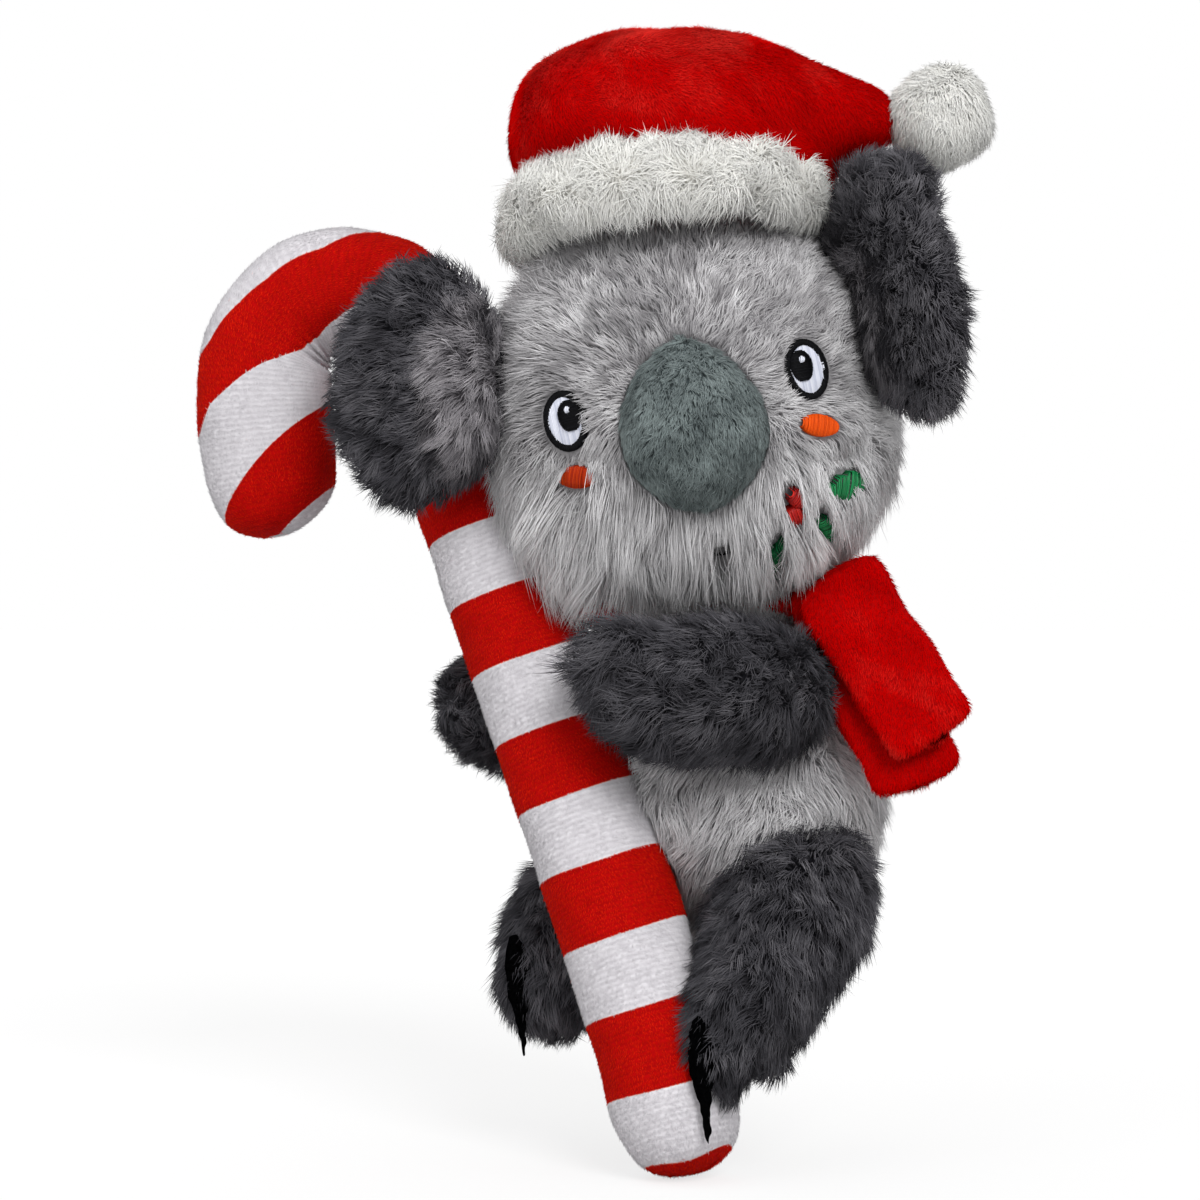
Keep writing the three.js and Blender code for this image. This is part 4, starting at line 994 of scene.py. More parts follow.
# Where the stripes meet, in millimetres along the cane from the tip. The stem's run straight across.
STEM_EDGES = [145.5, 164.6, 184.0, 203.6, 223.6, 243.0, 262.0, 282.0, 301.6, 323.0, 341.0]
OUTER_SLIVER = ([44, 50, 58, 65, 77, 85.5, 89], [-1.15, -0.84, -0.66, -0.57, -0.66, -0.97, -1.2])
OUTER_RED = ([26, 29, 36.6, 43.5, 50, 57, 67, 78, 85.6, 90, 97, 105],
             [-1.2, -0.98, -0.71, -0.17, 0.34, 0.58, 0.66, 0.47, 0.23, -0.14, -0.6, -1.1])


def cane_red(s, e):
    """How many millimetres inside the red cloth a place is, s along the cane and e across it.
    e runs from -1 outside the bend to 1 inside it."""
    r = CANE["diameter"] / 2
    bulge = 1.8 * (1 - e**2)
    upper = np.interp(s, *OUTER_SLIVER, left=-1.4, right=-1.4)
    lower = np.interp(s, *OUTER_RED, left=-1.4, right=-1.4)
    reds = [
        np.minimum(21 + 15 * e - s, s - (0.4 + 16 * (e - 0.32))),
        np.minimum((e - upper) * r, (lower - e) * r),
        np.minimum(s - (111.5 - 7.5 * e), (128 - 4 * e) - s),
    ]
    for low, high in zip(STEM_EDGES[::2], STEM_EDGES[1::2] + [400.0]):
        reds.append(np.minimum(s - low - bulge, high + bulge - s))
    return np.max(reds, axis=0)


def cane_cloth():
    """The cane's skin, with its seams, the folds inside the bend and the fuller tip and top."""
    rings, sides = 520, 120
    t = np.arange(1, rings) / rings
    t = 0.75 * t + 0.25 * (0.5 - 0.5 * np.cos(np.pi * t))
    tt, aa = grid(t, full_turn(sides))
    ends = cane.frame(np.array([0.0, 1.0]))[0]
    body = np.vstack([cane.point(tt, aa, -0.5), ends])
    skin = Skin(body, tube_faces(rings - 1, sides), np.r_[tt, 0, 1], np.r_[aa, 0, 0])
    s, e = skin.t * cane.length, np.cos(skin.angle)
    skin.place = np.stack([s, e], -1)
    seam = -0.7 * np.exp(-(((1 - np.abs(e)) / 0.004) ** 2))
    inner = smooth(e, 0.25, 0.9) * smooth(s, 44, 60) * (1 - smooth(s, 98, 116))
    folds = -inner * (0.7 + 0.55 * np.sin(s * 0.95 + 2 * np.sin(s * 0.31)))
    fuller = 3.2 * smooth(e, 0.0, 0.9) * (1 - smooth(s, 48, 70)) * smooth(s, 0, 14)
    higher = 1.6 * smooth(-e, 0, 0.9) * smooth(s, 58, 76) * (1 - smooth(s, 96, 118))
    return skin.move(seam + folds + fuller + higher + 0.35 * waves(skin.v, 20, 41))


CANE_ROW = 1.5  # from one knitted row to the next


def knitted_material():
    """The cane's cloth: red and white by shade, with painted shade in the grooves between its knitted rows,
    and darker flecks in its grain.
    """
    material, nodes, links, shader = new_material("cane_cloth", 0.85, 0.05)

    def worked(operation, first, second):
        node = nodes.new("ShaderNodeMath")
        node.operation = operation
        for socket, value in zip(node.inputs, (first, second)):
            if isinstance(value, (int, float)):
                socket.default_value = value
            else:
                links.new(value, socket)
        return node.outputs[0]

    grain = object_noise(nodes, links, 420, 3)
    turns = worked("MULTIPLY", attribute(nodes, ALONG), 2 * math.pi / CANE_ROW)
    rows = worked("SINE", worked("ADD", turns, worked("MULTIPLY", grain, 5.0)), 0.0)
    height = worked("ADD", worked("MULTIPLY", rows, 0.16), grain)
    edge = ramp(nodes, (0.0, 218, 215, 219), (0.44, 224, 221, 225), (0.5, 216, 124, 104), (0.56, 166, 3, 4),
                (1.0, 178, 4, 4))
    # Painted shade: darker where the rows dip between them, and darker flecks where the grain is low.
    row_shade_and_grain = ramp(nodes, (0.25, 225.9, 224.6, 225.9), (0.75, 255, 255, 255))
    mix = nodes.new("ShaderNodeMix")
    mix.data_type, mix.blend_type = "RGBA", "MULTIPLY"
    mix.inputs["Factor"].default_value = 1.0
    for colours, value, socket in ((edge, attribute(nodes, SHADE), "A"), (row_shade_and_grain, height, "B")):
        links.new(value, colours.inputs["Fac"])
        links.new(colours.outputs["Color"], mix.inputs[socket])
    links.new(mix.outputs["Result"], shader.inputs["Base Color"])
    add_bump(nodes, links, shader, height, 0.35, 0.3)
    return material


cane_skin = cane_cloth()
cane_shade = np.clip(0.5 + cane_red(*cane_skin.place.T) / 3.0, 0, 1)
cane_piece = make_mesh("candy_cane_cloth", cane_skin.v, cane_skin.f, knitted_material(), "torso", cane_shade,
                       cane_skin.place[:, 0])
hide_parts("candy_cane")

# Pile

# Density, length, lean, radius, segments, clump size, clump pull, droop, spread and variation
HEAD_PILE = Pile(310, 7.6, 50, 0.14, 2, 2.3, 0.45, 0.12, 0.28, 0.18, soft=0.7)
LOCK_PILE = Pile(270, 11.2, 52, 0.135, 3, 3.4, 0.62, 0.24, 0.22, 0.2, soft=0.75)
TORSO_PILE = Pile(270, 9.0, 52, 0.14, 2, 3.0, 0.55, 0.15, 0.25, 0.18)
LIMB_PILE = Pile(340, 7.8, 48, 0.135, 2, 2.4, 0.6, 0.08, 0.5, 0.2)
EAR_PLUSH = Pile(380, 6.2, 46, 0.135, 2, 2.2, 0.55, 0.08, 0.5, 0.2)
LINING_PILE = Pile(520, 6.0, 50, 0.12, 2, 2.4, 0.5, 0.1, 0.4)
CUFF_PILE = Pile(680, 5.4, 63, 0.14, 2, 2.0, 0.2, 0.03, 0.4, 0.18, soft=0.96)
POMPOM_PILE = Pile(1050, 4.8, 60, 0.17, 2, 1.6, 0.15, 0.03, 0.45, 0.14, soft=0.95)
RED_SHORT = Pile(800, 2.4, 74, 0.16, 1, 0.0, 0.0, 0.0, 0.22, 0.15, soft=0.96)
BAND_SHORT = Pile(600, 2.4, 74, 0.18, 1, 0.0, 0.0, 0.0, 0.22, 0.15, soft=0.96)
NOSE_SHORT = Pile(900, 2.9, 58, 0.14, 2, 1.5, 0.6, 0.05, 0.45, soft=0.6)
CANE_SHORT = Pile(395, 1.0, 62, 0.13, 1, 0.0, 0.0, 0.0, 0.3, soft=0.85)


def outside(*tests):
    """Keeps roots that lie in none of the forms."""

    def keep(roots, normals):
        kept = np.ones(len(roots), bool)
        for form, room in tests:
            kept &= ~form.inside(roots, room)
        return kept

    return keep


def mottle(tone, rng, by_clump, by_strand):
    return by_clump * (tone - 0.5) + by_strand * (rng.random(len(tone)) - 0.5)


def patchy(size, seed, base, amount, by_clump, by_strand):
    def shade(roots, normals, tone, rng):
        return base + amount * waves(roots, size, seed) + mottle(tone, rng, by_clump, by_strand)

    return shade


def down_comb(roots, normals):
    return -UP + 0.25 * np.stack([waves(roots, 18, 51), waves(roots, 18, 52), 0 * roots[:, 0]], -1)


nose_at = nose_middle + ORIGIN


def head_comb(roots, normals):
    """Away from the nose above, and down below it."""
    away = unit(roots - (nose_at + np.array([0, 10, 0])))
    low = smooth(-(roots[:, 2] - nose_at[2]), -12, 14)[:, None]
    way = away * (1 - low) * 0.9 + low * (-UP + 0.35 * away * np.array([1, 0, 0]))
    return way + 0.35 * stray(roots, 16, 61)


def head_length(roots, normals):
    """Longer low on the head and at its right side, shorter round the embroidery."""
    low = smooth(-(roots[:, 2] - nose_at[2]), -14, 30)
    face = smooth(-normals[:, 1], 0.2, 0.6)
    calm = np.where(normals[:, 1] < 0, smooth(patch_gap(roots), 0.2, 5.0), 1)
    beside = smooth(-normals[:, 0], 0.45, 0.75) * smooth(-normals[:, 1], 0.1, 0.4) * (1 - low)
    return (0.82 + 0.5 * low) * (1 - 0.1 * face * (1 - low)) * (0.62 + 0.38 * calm) * (1 + 0.8 * beside)


HEAD_CLEAR = outside((torso, -SINK), (cuff, -4), (dome, -3), (nose, -1.5), (cane, 0.5), (ear_left, -5),
                     (ear_right, -5))


def head_keep(roots, normals):
    sewn = (normals[:, 1] < -0.1) & (patch_gap(roots) < 0.4)
    return HEAD_CLEAR(roots, normals) & ~sewn


def head_shade(roots, normals, tone, rng):
    low = smooth(-(roots[:, 2] - nose_at[2]), -20, 30)
    # Painted light: the head's right side is lighter, as the side that the light falls on.
    right = smooth(roots[:, 0] - nose_at[0], 0, 50)
    # Painted light: the fur just under the hat's cuff is lighter, against the shade that the cuff casts
    # there.
    lit_under_cuff = smooth((roots - cuff.middle) @ cuff_up, -17, -8)
    value = 0.28 + 0.24 * low + 0.3 * right + 0.4 * lit_under_cuff
    return value + 0.14 * waves(roots, 30, 71) + 0.2 * waves(roots, 8, 72) + mottle(tone, rng, 0.5, 0.25)


grow("head_fur", head_skin, "head", "light_fur", LIGHT_FUR, HEAD_PILE, head_comb, 101, head_shade, head_keep,
     head_length, push=((cane, 0.6), (nose, 0.3)), windows=WINDOWS)


def lock_share(roots, normals):
    """How much of the long hanging pile of the jaw grows at a root."""
    low = smooth(nose_at[2] - roots[:, 2], 2, 24)
    return low * smooth(0.55 - normals[:, 1], 0, 0.5)


def lock_keep(roots, normals):
    chance = (waves(roots, 2.0, 66) + 1) / 2
    share = lock_share(roots, normals)
    return head_keep(roots, normals) & (share > 0.1) & (chance < share)


def lock_length(roots, normals):
    down = smooth(-normals[:, 2], -0.1, 0.75)
    aside = smooth(nose_at[0] - roots[:, 0], 14, 28)
    left = smooth(roots[:, 0] - nose_at[0], 26, 40)
    return (0.72 + 0.42 * down + 0.2 * down * aside) * (1 - 0.45 * left)


def lock_shade(roots, normals, tone, rng):
    # Painted light: the jaw's locks are lighter towards the right, where the light falls.
    right = smooth(roots[:, 0] - nose_at[0], 10, 50)
    return 0.8 + 0.34 * right + 0.12 * waves(roots, 14, 78) + mottle(tone, rng, 0.42, 0.2)


def lock_comb(roots, normals):
    outward = 0.35 * waves(roots, 14, 64) + 0.012 * (roots[:, 0] - nose_at[0])
    return -UP + np.array([1.0, 0, 0]) * outward[:, None]


grow("jaw_fur", head_skin, "head", "light_fur", LIGHT_FUR, LOCK_PILE, lock_comb, 103, lock_shade, lock_keep,
     lock_length, push=((cane, 0.8), (nose, 0.3)), windows=WINDOWS)


def torso_shade(roots, normals, tone, rng):
    value = 0.42 + 0.22 * waves(roots, 28, 73) + 0.14 * waves(roots, 9, 74)
    return value + mottle(tone, rng, 0.5, 0.25)


def torso_comb(roots, normals):
    side = np.stack([waves(roots, 24, 53) - 0.5, 0 * roots[:, 0], 0.4 * waves(roots, 16, 54)], -1)
    return -0.6 * UP + 0.9 * side


grow("torso_fur", torso_skin, "torso", "light_fur", LIGHT_FUR, TORSO_PILE, torso_comb, 102, torso_shade,
     outside((head, -SINK), (arm_left, -5), (arm_right, -5), (leg_left, -5), (leg_right, -5), (cane, 0.5),
             (band, -2)), push=((cane, 0.6),))


def along_comb(form, sink=0.25, tousle=0.7):
    """Combed along a limb, towards its end, and a little down."""
    centres, tangents, _, _ = form.frame(np.linspace(0, 1, 60))

    def comb(roots, normals):
        near = ((roots[:, None] - centres[None]) ** 2).sum(-1).argmin(1)
        return tangents[near] - sink * UP + tousle * stray(roots, 10, 81)

    return comb


def from_comb(point, sink=0.2):
    """Combed away from a point."""
    return lambda roots, normals: unit(roots - point) - sink * UP + 0.6 * stray(roots, 10, 84)


def low_shorter(low, high, share):
    """Pile that is shorter at the limb's lower end."""
    return lambda roots, normals: 1 - (1 - share) * smooth(high - roots[:, 2], 0, high - low)


def end_fuller(roots, normals):
    """The left arm's end is square: its pile is longer at the upper corner."""
    end = arm_left.line[-1]
    return 1 + 0.75 * smooth(end[0] + 14 - roots[:, 0], 0, 14) * smooth(roots[:, 2] - end[2], 0, 9)


LIMB_LENGTHS = dict(
    arm_left=end_fuller,
    arm_right=lambda roots, normals: np.full(len(roots), 0.8),
    leg_left=low_shorter(10, 60, 0.68),
    leg_right=low_shorter(20, 60, 0.75),
)
LIMB_SEED = dict(arm_left=211, arm_right=212, leg_left=213, leg_right=214, ear_left=215, ear_right=216)
DARK_SHADE = patchy(12, 91, 0.48, 0.22, 0.68, 0.28)
LIMB_CLEAR = outside((torso, -5), (cane, 0.4), (head, -6))
for name, length in LIMB_LENGTHS.items():
    grow(f"{name}_fur", limb_skins[name], name, "dark_fur", DARK_FUR, LIMB_PILE, along_comb(LIMB_FORMS[name]),
         LIMB_SEED[name], DARK_SHADE, LIMB_CLEAR, length, push=((cane, 0.6),))

# The linings: an oval of short plush on the front of each ear, near its sewn edge
LINING = dict(width=20, height=44, aside=7.5, lift=2.2, thin=1.1)
OPEN_EAR, FOLDED_EAR = 1, -1  # which way the ear lies from the head, seen from the front
EAR_SIDES = dict(ear_right=(right_ear_root + ORIGIN, OPEN_EAR), ear_left=(left_ear_root + ORIGIN, FOLDED_EAR))


def lining_share(ear, towards, points):
    """How far out points in front of the ear lie on its lining, whose rim is at 1."""
    middle, tangent, side, back = ear.frame(np.array([0.5]))
    off = points - middle
    along = dot(off, tangent)[:, 0] / (LINING["height"] / 2)
    across = (dot(off, side)[:, 0] - towards * LINING["aside"]) / (LINING["width"] / 2)
    return np.where(dot(off, back)[:, 0] < 0, np.hypot(along, across), 9.0)


def ear_fur(name, root, towards):
    form, folded = LIMB_FORMS[name], towards == FOLDED_EAR
    clear = outside((head, -6 if folded else 2.0), (cane, -1))

    def keep(roots, normals):
        return clear(roots, normals) & (lining_share(form, towards, roots) > 0.92)

    def shade(roots, normals, tone, rng):
        near = 1 - smooth(lining_share(form, towards, roots), 0.9, 1.35)
        return DARK_SHADE(roots, normals, tone, rng) + (0.24 if folded else 0.5 * near)

    comb = from_comb(root if folded else root + np.array([14, 0, 0]))
    grow(f"{name}_fur", limb_skins[name], name, "dark_fur", DARK_FUR, EAR_PLUSH, comb, LIMB_SEED[name], shade,
         keep)


def lining_shade(ear, towards):
    """Darker at the rim; the folded ear's lining lies in the shade of its fur."""
    plain = patchy(12, 92, 0.16 if towards == FOLDED_EAR else 0.6, 0.2, 0.6, 0.3)

    def shade(roots, normals, tone, rng):
        edge = smooth(lining_share(ear, towards, roots), 0.55, 1.0)
        return plain(roots, normals, tone, rng) - 0.35 * edge

    return shade


def lining(name, root, towards):
    """An oval sheet of two faces and a wall, laid on the ear's cloth, with its pile on the outer face."""
    ear, skin, rings, sides = LIMB_FORMS[name], limb_skins[name], 28, 72
    middle, tangent, side, back = (x[0] for x in ear.frame(np.array([0.5])))
    rr, aa = (np.r_[0, x] for x in grid(np.arange(1, rings + 1) / rings, full_turn(sides)))
    across = rr * np.cos(aa) * LINING["width"] / 2 + towards * LINING["aside"]
    along = rr * np.sin(aa) * LINING["height"] / 2
    tree = BVHTree.FromPolygons([tuple(v) for v in skin.v], skin.f.tolist())
    top = []
    for x, z in zip(across, along):
        flat = middle + side * x + tangent * z
        hit = tree.ray_cast(Vector(flat - back * 60), Vector(back))[0]
        top.append(flat if hit is None else np.array(hit[:]))
    top = np.array(top)
    lift = LINING["lift"] - 1.2 * rr**6
    outer, inner = top - back * lift[:, None], top - back * (lift - LINING["thin"])[:, None]
    n, j = len(top), np.arange(sides)
    after = (j + 1) % sides
    faces = [np.stack([np.zeros(sides, int), 1 + after, 1 + j], -1)]
    for k in range(rings - 1):
        p, q = 1 + k * sides + j, 1 + k * sides + after
        faces += [np.stack([p, q, q + sides], -1), np.stack([p, q + sides, p + sides], -1)]
    sheet = np.vstack(faces)
    rim, rim_next = n - sides + j, n - sides + after
    walls = (rim, rim_next, rim_next + n), (rim, rim_next + n, rim + n)
    wall = np.vstack([np.stack(row, -1) for row in walls])
    vertices, closed = np.vstack([outer, inner]), np.vstack([sheet, sheet[:, ::-1] + n, wall])
    if normals_of(vertices, closed)[0] @ back > 0:
        closed, sheet = closed[:, ::-1], sheet[:, ::-1]
    piece = make_mesh(f"{name}_lining_cloth", vertices, closed, EAR_SKIN, name)
    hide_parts(f"{name}_lining")
    grow(f"{name}_lining_pile", Skin(outer, sheet), name, "ear_cloth", EAR_PILE, LINING_PILE,
         from_comb(root, 0.4), 260, lining_shade(ear, towards))


for make in (ear_fur, lining):
    for name, (root, towards) in EAR_SIDES.items():
        make(name, root, towards)


def cuff_comb(roots, normals):
    """Up above the cuff's middle and down below it."""
    height = (roots - cuff.middle) @ cuff_up + 2
    up_or_down = np.sign(height) * np.minimum(np.abs(height) / 6, 1)
    return UP * up_or_down[:, None] - 0.35 * UP + 0.6 * stray(roots, 10, 87)


def cuff_length(roots, normals):
    """Longer at the upper edge, and at the lower edge over the forehead."""
    height = (roots - cuff.middle) @ cuff_up
    ahead = smooth(-normals[:, 1], -0.2, 0.4)
    return 1 + 0.3 * smooth(height, 1, 6) + 0.45 * ahead * smooth(-height, 1, 6)


grow("hat_cuff_fur", cuff_skin, "head", "white_plush", WHITE_PILE, CUFF_PILE, cuff_comb, 301,
     patchy(10, 93, 0.75, 0.12, 0.4, 0.24), outside((head, -5), (dome, -3), (ear_left, -4)), cuff_length)
grow("pompom_fur", pompom_skin, "pompom", "white_plush", WHITE_PILE, POMPOM_PILE,
     lambda roots, normals: -UP + 0 * roots, 302, patchy(8, 94, 0.75, 0.12, 0.4, 0.24))


def crown_comb(roots, normals):
    return np.array([0.5, 0, -0.7]) + 0.8 * stray(roots, 26, 97)


CROWN_CLEAR = outside((cuff, -3), (head, -2))


def crown_keep(roots, normals):
    return CROWN_CLEAR(roots, normals) & ((roots - cuff.middle) @ cuff_up > -3)


RED_SHADE = patchy(22, 95, 0.5, 0.22, 0.0, 0.16)
# The lower scarf tail's pile is darker: painted shade.
RED_IN_SHADE = patchy(22, 95, 0.22, 0.2, 0.0, 0.16)


def crown_shade(roots, normals, tone, rng):
    """Painted light on the crown's top, where it faces up and forward, and painted shade, darker, along the
    tail.
    """
    high = smooth(normals[:, 2], 0.1, 0.9) * smooth(-normals[:, 1], -0.6, 0.2)
    shaded_tail_side = smooth(roots[:, 0] - cuff.middle[0], 10, 50)
    return RED_SHADE(roots, normals, tone, rng) + 0.3 * high - 0.22 * shaded_tail_side + 0.1 * waves(roots, 7, 99)


def upper_shade(roots, normals, tone, rng):
    """Painted light: lighter towards the end of the tail."""
    low = smooth(tail_upper.line[0][2] - roots[:, 2], 18, 48)
    return RED_SHADE(roots, normals, tone, rng) + 0.3 * low - 0.08 + 0.1 * waves(roots, 7, 99)


grow("hat_crown_pile", crown_skin, "head", "red_plush", RED_PILE, RED_SHORT, crown_comb, 303, crown_shade,
     crown_keep)
grow("scarf_band_pile", band_skin, "torso", "red_plush", RED_PILE, BAND_SHORT, down_comb, 304, RED_SHADE,
     outside((head, -4), (torso, -3)))
grow("scarf_tail_lower_pile", lower_skin, "scarf_lower", "red_plush", RED_PILE, RED_SHORT, down_comb, 305,
     RED_IN_SHADE, outside((torso, -5)))
grow("scarf_tail_upper_pile", upper_skin, "scarf_upper", "red_plush", RED_PILE, RED_SHORT, down_comb, 306,
     upper_shade, outside((torso, -5)))
grow("nose_pile", nose_skin, "head", "nose_plush", NOSE_PILE, NOSE_SHORT, down_comb, 307,
     patchy(9, 96, 0.5, 0.25, 0.0, 0.5), outside((head, -3)))


def cane_pile_shade(roots, normals, tone, rng):
    s, e = cane_skin.rooted.T
    red = cane_red(s + 0.4, e)
    # Painted shade: the pile is darker between the knitted rows and lighter on them.
    rows = 0.5 + 0.5 * np.sin(2 * np.pi * s / CANE_ROW + 1.2 * waves(roots, 9, 75))
    level = 0.3 + 0.26 * rows + 0.2 * tone + 0.26 * rng.random(len(roots)) + 0.14 * waves(roots, 9, 76)
    return np.where(red > 0, 0.56 + 0.4 * level, 0.04 + 0.38 * level)


grow("candy_cane_pile", cane_skin, "torso", "cane_cloth", CANE_PILE, CANE_SHORT, along_comb(cane, 0.0, 0.1),
     308, cane_pile_shade, outside((torso, -7)))

# Felt claws


def claw(name, form, body):
    skin = lumpy(Skin(*form.mesh(90, 40, -0.1)), 2.2, 0.3, 44)
    top = skin.v[:, 2].max()
    skin.v[:, 1] += 2.6 * smooth(skin.v[:, 2] - (top - 26), 0, 16)
    show_skin(f"{name}_felt", skin, FELT, body, [name])


claw("claw_left", claw_left, "leg_left")
claw("claw_right", claw_right, "leg_right")

# Embroidery

THREAD = 0.24  # half a thread's thickness
STITCH_GAP = 0.34  # from one thread to the next
BLACK, WHITE = (BLACK_THREAD, "thread_black"), (WHITE_THREAD, "thread_white")
ORANGE, GREEN = (ORANGE_THREAD, "thread_orange"), (GREEN_THREAD, "thread_green")
RED = (RED_THREAD, "thread_red")


def stitches(node, rows, thread, height, bow, seed, points=6, tones=(0, 1), label=None):
    """Satin stitches: one thread from each start to its end, over the head's cloth."""
    rng = np.random.default_rng(seed)
    starts, ends = rows
    n, sides = len(starts), 5
    s = np.r_[0, np.linspace(0.05, 0.95, points - 2), 1]
    flat = starts[:, None] * (1 - s)[None, :, None] + ends[:, None] * s[None, :, None]
    placed, normals = (x.reshape(flat.shape) for x in on_head(flat.reshape(-1, 3)))
    arch = height + bow * np.sin(np.pi * s) ** 0.6
    arch[0] = arch[-1] = -0.3
    paths = placed + normals * (arch[None, :, None] * rng.uniform(0.9, 1.1, (n, 1, 1)))
    way = unit(np.gradient(paths, axis=1))
    a = unit(np.cross(way, normals))
    b = np.cross(way, a)
    angle = full_turn(sides)[None, None, :, None]
    ring = a[:, :, None] * np.cos(angle) + b[:, :, None] * np.sin(angle)
    body = paths[:, :, None] + ring * (THREAD * rng.uniform(0.9, 1.1, (n, 1, 1, 1)))
    block = points * sides + 2
    vertices = np.concatenate([body.reshape(n, -1, 3), paths[:, :1], paths[:, -1:]], 1).reshape(-1, 3)
    one = tube_faces(points, sides)
    faces = (one[None] + (np.arange(n) * block)[:, None, None]).reshape(-1, 3)
    outward = vertices[: points * sides] - np.repeat(paths[0], sides, 0)
    if (normals_of(vertices[:block], one)[: points * sides] * outward).sum() < 0:
        faces = faces[:, ::-1]
    material, slot = thread
    shade = np.repeat(rng.uniform(*tones, n), block)
    obj = make_mesh(label or f"{node}_thread", vertices, faces, material, "head", shade)
    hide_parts(node)


def oval_rows(spot, width, height, lean, rows_at, spacing=STITCH_GAP):
    """Starts and ends of parallel stitches that fill an oval. rows_at is the stitches' way, in degrees."""
    a, b = math.radians(rows_at), math.radians(lean)
    way = np.array([math.cos(a), math.sin(a)])
    across = np.array([-way[1], way[0]])
    turned = np.array([[math.cos(b), math.sin(b)], [-math.sin(b), math.cos(b)]])
    to_circle = turned / np.array([[width / 2], [height / 2]])
    span = max(width, height) / 2
    starts, ends = [], []
    for offset in np.arange(-span, span, spacing):
        base = across * offset
        # Where the line from the base meets the oval: the two roots of a square equation
        p, d = to_circle @ base, to_circle @ way
        qa, qb, qc = d @ d, 2 * p @ d, p @ p - 1
        inside = qb * qb - 4 * qa * qc
        if inside <= 0:
            continue
        low, high = ((-qb + sign * math.sqrt(inside)) / (2 * qa) for sign in (-1, 1))
        if high - low < 0.6:
            continue
        for k, out in ((low, starts), (high, ends)):
            x, z = base + way * k
            out.append(spot + np.array([x, 0, z]))
    return np.array(starts), np.array(ends)


def ring_rows(spot, width, height, rim, lean, count):
    """Short stitches across an oval's rim."""
    b, a = math.radians(lean), full_turn(count)
    out = []
    for grow_by in (0.0, -rim):
        u, w = (width / 2 + grow_by) * np.cos(a), (height / 2 + grow_by) * np.sin(a)
        x, z = u * math.cos(b) - w * math.sin(b), u * math.sin(b) + w * math.cos(b)
        out.append(spot + np.stack([x, 0 * x, z], -1))
    return out


def polygon_rows(points, way):
    """Parallel stitches that fill a closed outline, seen from the front."""
    points = np.asarray(points, float)
    way = np.array([way[0], way[2]])
    way = way / np.linalg.norm(way)
    across = np.array([-way[1], way[0]])
    flat = points[:, [0, 2]]
    offsets, alongs = flat @ across, flat @ way
    starts, ends = [], []
    for offset in np.arange(offsets.min() + 0.05, offsets.max(), STITCH_GAP):
        hits = []
        for i in range(len(flat)):
            j = (i + 1) % len(flat)
            a, b = offsets[i], offsets[j]
            if (a - offset) * (b - offset) < 0:
                share = (offset - a) / (b - a)
                hits.append(alongs[i] + share * (alongs[j] - alongs[i]))
        if len(hits) >= 2 and max(hits) - min(hits) > 0.5:
            for k, out in ((min(hits), starts), (max(hits), ends)):
                q = across * offset + way * k
                out.append([q[0], 0, q[1]])
    return np.array(starts), np.array(ends)


def eye(name, spot, inward):
    width, height, rim, lean = EYE["width"], EYE["height"], EYE["rim"], HEAD["tilt"]
    pupil = spot + HEAD_LEFT * inward * PUPIL["inward"] + HEAD_UP * PUPIL["high"]
    glint = pupil + HEAD_UP * PUPIL["height"] / 5
    small = PUPIL["glint"]
    white = oval_rows(spot, width - rim, height - rim, lean, 90 + lean)
    stitches(f"{name}_white", white, WHITE, 0.5, 0.25, 1)
    stitches(f"{name}_ring", ring_rows(spot, width, height, EYE["ring"], lean, 130), BLACK, 0.55, 0.5, 2, 5)
    dark = oval_rows(pupil, PUPIL["width"], PUPIL["height"], lean, lean)
    stitches(f"{name}_pupil", dark, BLACK, 1.0, 0.45, 3)
    stitches(f"{name}_glint", oval_rows(glint, small * 0.75, small * 0.95, 0, 90, 0.3), WHITE, 1.6, 0.3, 4)


eye("eye_left", eye_left, -1)
eye("eye_right", eye_right, 1)
# The right cheek's threads are darker: painted shade on the shaded side of the face.
for name, spot, tones in (("cheek_left", cheek_left, (0.6, 1.0)), ("cheek_right", cheek_right, (0.0, 0.45))):
    stitches(name, oval_rows(spot, CHEEK["width"], CHEEK["height"], -6, 84), ORANGE, 1.2, 0.6, 5, tones=tones)

LEAF = dict(length=13, width=6, angles=(22, -30, -104), reaches=(7.5, 5.5, 7), stitch_turn=62)
BERRY = dict(size=4.4, gap=0.3, drawn=4.6, angles=(100, 250))


def leaf(n, degrees, reach):
    """A leaf with a jagged edge, whose stem points at the holly's middle."""
    a, slant = radians_of(degrees, degrees + LEAF["stitch_turn"])
    way, across = np.array([math.cos(a), 0, math.sin(a)]), np.array([-math.sin(a), 0, math.cos(a)])
    k = np.linspace(0, 1, 9)
    jag = np.where(np.arange(9) % 2 == 1, 1.15, 0.85)
    side = across * (LEAF["width"] * 2 * k * (1 - k) * jag)[:, None]
    spine = holly + way * reach + way * (k * LEAF["length"])[:, None]
    outline = np.vstack([spine + side, (spine - side)[::-1][1:-1]])
    rows = polygon_rows(outline, (math.cos(slant), 0, math.sin(slant)))
    stitches(f"holly_leaf_{n}", rows, GREEN, 2.0, 0.5, 19 + n)


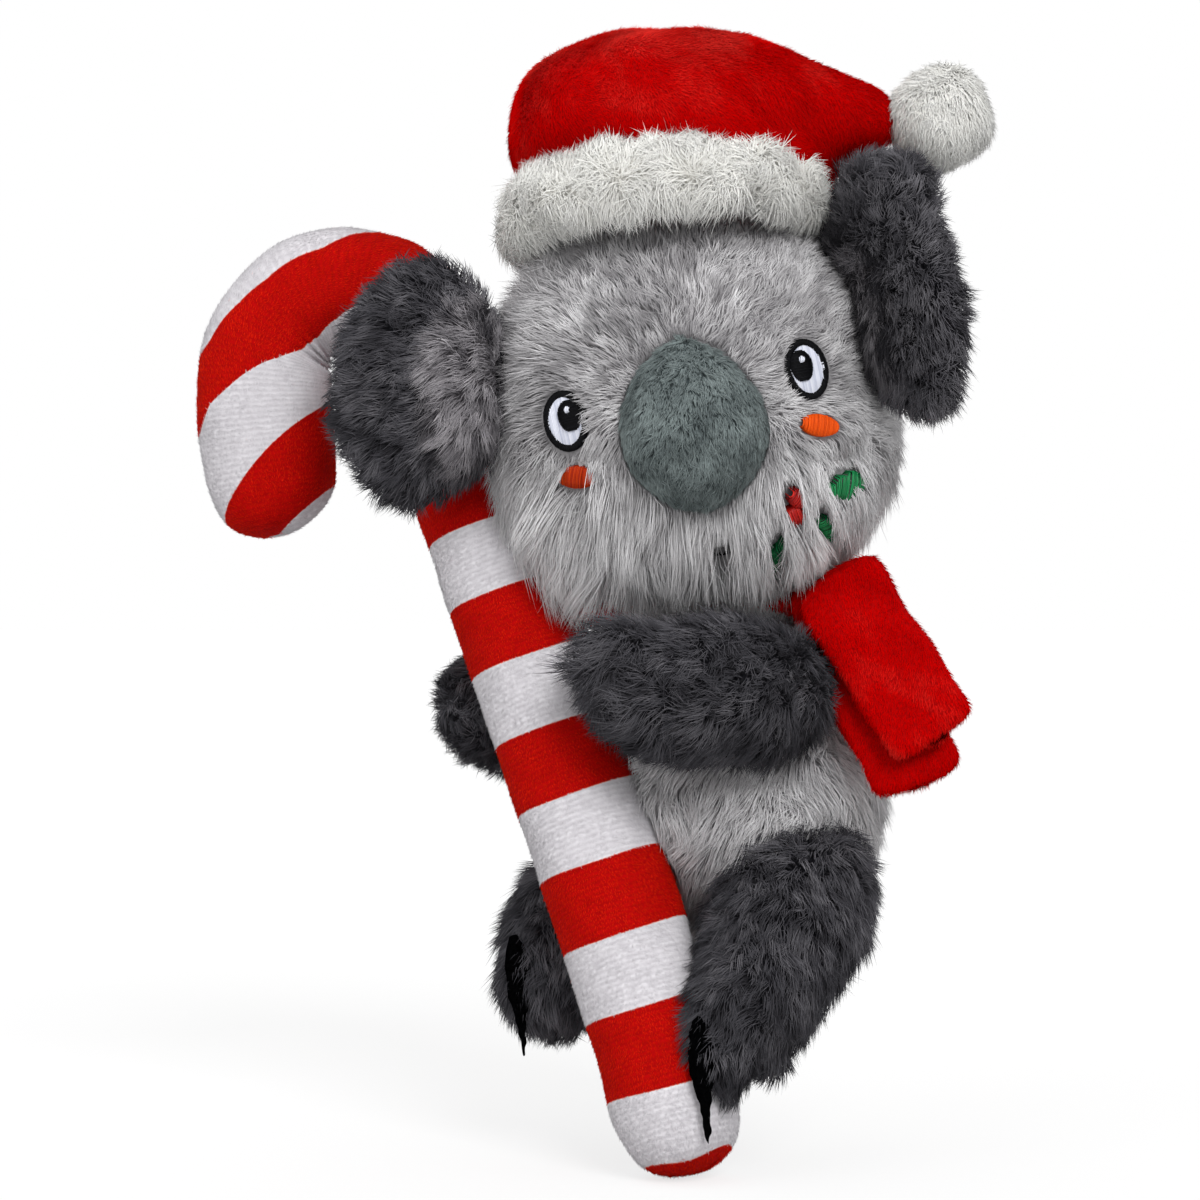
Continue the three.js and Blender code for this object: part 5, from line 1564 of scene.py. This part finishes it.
for n, (degrees, reach) in enumerate(zip(LEAF["angles"], LEAF["reaches"]), 1):
    leaf(n, degrees, reach)
for n, degrees in enumerate(BERRY["angles"], 1):
    a = math.radians(degrees)
    spot = holly + np.array([math.cos(a), 0, math.sin(a)]) * (BERRY["size"] + BERRY["gap"]) / 2
    rows = oval_rows(spot, BERRY["drawn"], BERRY["drawn"], 0, 10 + 50 * n)
    stitches(f"holly_berry_{n}", rows, RED, 2.4, 0.8, 29 + n)
SMILE = dict(half_width=5, depth=2.4)
k = np.linspace(-1, 1, 7)
smile = mouth + np.stack([SMILE["half_width"] * k, 0 * k, -SMILE["depth"] * (1 - k**2)], -1)
stitches("mouth_stitch", (smile[:-1], smile[1:]), BLACK, 0.5, 0.4, 40, label="mouth_thread")

# Floor, light, camera

FLOOR_SIZE = 30  # metres
BRIGHT_SHARE = 0.72  # how much of the floor's white is its own, and not what the light gives it
DULL = 0.66  # the floor's grey to the light that it throws back at the toy
SKY = 0.74


def either(nodes, links, first, second):
    node = nodes.new("ShaderNodeMath")
    node.operation = "MAXIMUM"
    links.new(first, node.inputs[0])
    links.new(second, node.inputs[1])
    return node.outputs[0]


def mixed(nodes, links, share, first, second):
    node = nodes.new("ShaderNodeMixShader")
    if isinstance(share, float):
        node.inputs[0].default_value = share
    else:
        links.new(share, node.inputs[0])
    links.new(first, node.inputs[1])
    links.new(second, node.inputs[2])
    return node.outputs[0]


def floor_material():
    """White where it is seen, with the shadow kept, and duller as a source of light."""
    material, nodes, links, shader = new_material("floor", 1.0, 0.0)
    shader.inputs["Base Color"].default_value = (1.0, 1.0, 1.0, 1)
    glow = nodes.new("ShaderNodeEmission")
    glow.inputs["Strength"].default_value = 1.0
    dull = nodes.new("ShaderNodeBsdfDiffuse")
    dull.inputs["Color"].default_value = (DULL, DULL, DULL, 1)
    path = nodes.new("ShaderNodeLightPath").outputs
    seen = either(nodes, links, path["Is Camera Ray"], path["Is Glossy Ray"])
    seen = either(nodes, links, seen, path["Is Transmission Ray"])
    shown = mixed(nodes, links, BRIGHT_SHARE, shader.outputs[0], glow.outputs[0])
    result = mixed(nodes, links, seen, dull.outputs[0], shown)
    links.new(result, nodes["Material Output"].inputs["Surface"])
    return material


h = FLOOR_SIZE / 2
mesh = bpy.data.meshes.new("floor")
mesh.from_pydata([(-h, -h, 0), (h, -h, 0), (h, h, 0), (-h, h, 0)], [], [(0, 1, 2, 3)])
mesh.materials.append(floor_material())
floor = bpy.data.objects.new("floor", mesh)
bpy.context.scene.collection.objects.link(floor)

world = bpy.data.worlds.new("world")
bpy.context.scene.world = world
world.use_nodes = True
nodes, links = world.node_tree.nodes, world.node_tree.links
sky, white = nodes["Background"], nodes.new("ShaderNodeBackground")
for background, strength in ((sky, SKY), (white, 1.0)):
    background.inputs["Color"].default_value = (1, 1, 1, 1)
    background.inputs["Strength"].default_value = strength
camera_ray = nodes.new("ShaderNodeLightPath").outputs["Is Camera Ray"]
result = mixed(nodes, links, camera_ray, sky.outputs[0], white.outputs[0])
links.new(result, nodes["World Output"].inputs["Surface"])


def sun(name, strength, way, softness):
    lamp = bpy.data.lights.new(name, "SUN")
    lamp.energy = strength
    lamp.angle = math.radians(softness)
    obj = bpy.data.objects.new(name, lamp)
    bpy.context.scene.collection.objects.link(obj)
    obj.rotation_euler = Vector(way).to_track_quat("-Z", "Y").to_euler()


sun("key", 1.56, (-0.28, 0.8, -0.6), 25)
sun("fill", 0.6, (0.7, 0.65, -0.3), 40)

# The camera sees so many millimetres across at the level named
CAMERA = dict(away=884, aside=-30.2, high=146.1, sensor=36, seen=318, level=870)
camera = bpy.data.objects.new("camera", bpy.data.cameras.new("camera"))
bpy.context.scene.collection.objects.link(camera)
camera.location = ((ORIGIN + [CAMERA["aside"], -CAMERA["away"], CAMERA["high"]]) * MM).tolist()
camera.rotation_euler = (math.radians(90), 0, 0)
camera.data.sensor_width = CAMERA["sensor"]
camera.data.lens = CAMERA["sensor"] * CAMERA["level"] / CAMERA["seen"]
camera.data.clip_end = 100
bpy.context.scene.camera = camera
bpy.context.scene.view_settings.view_transform = "Standard"
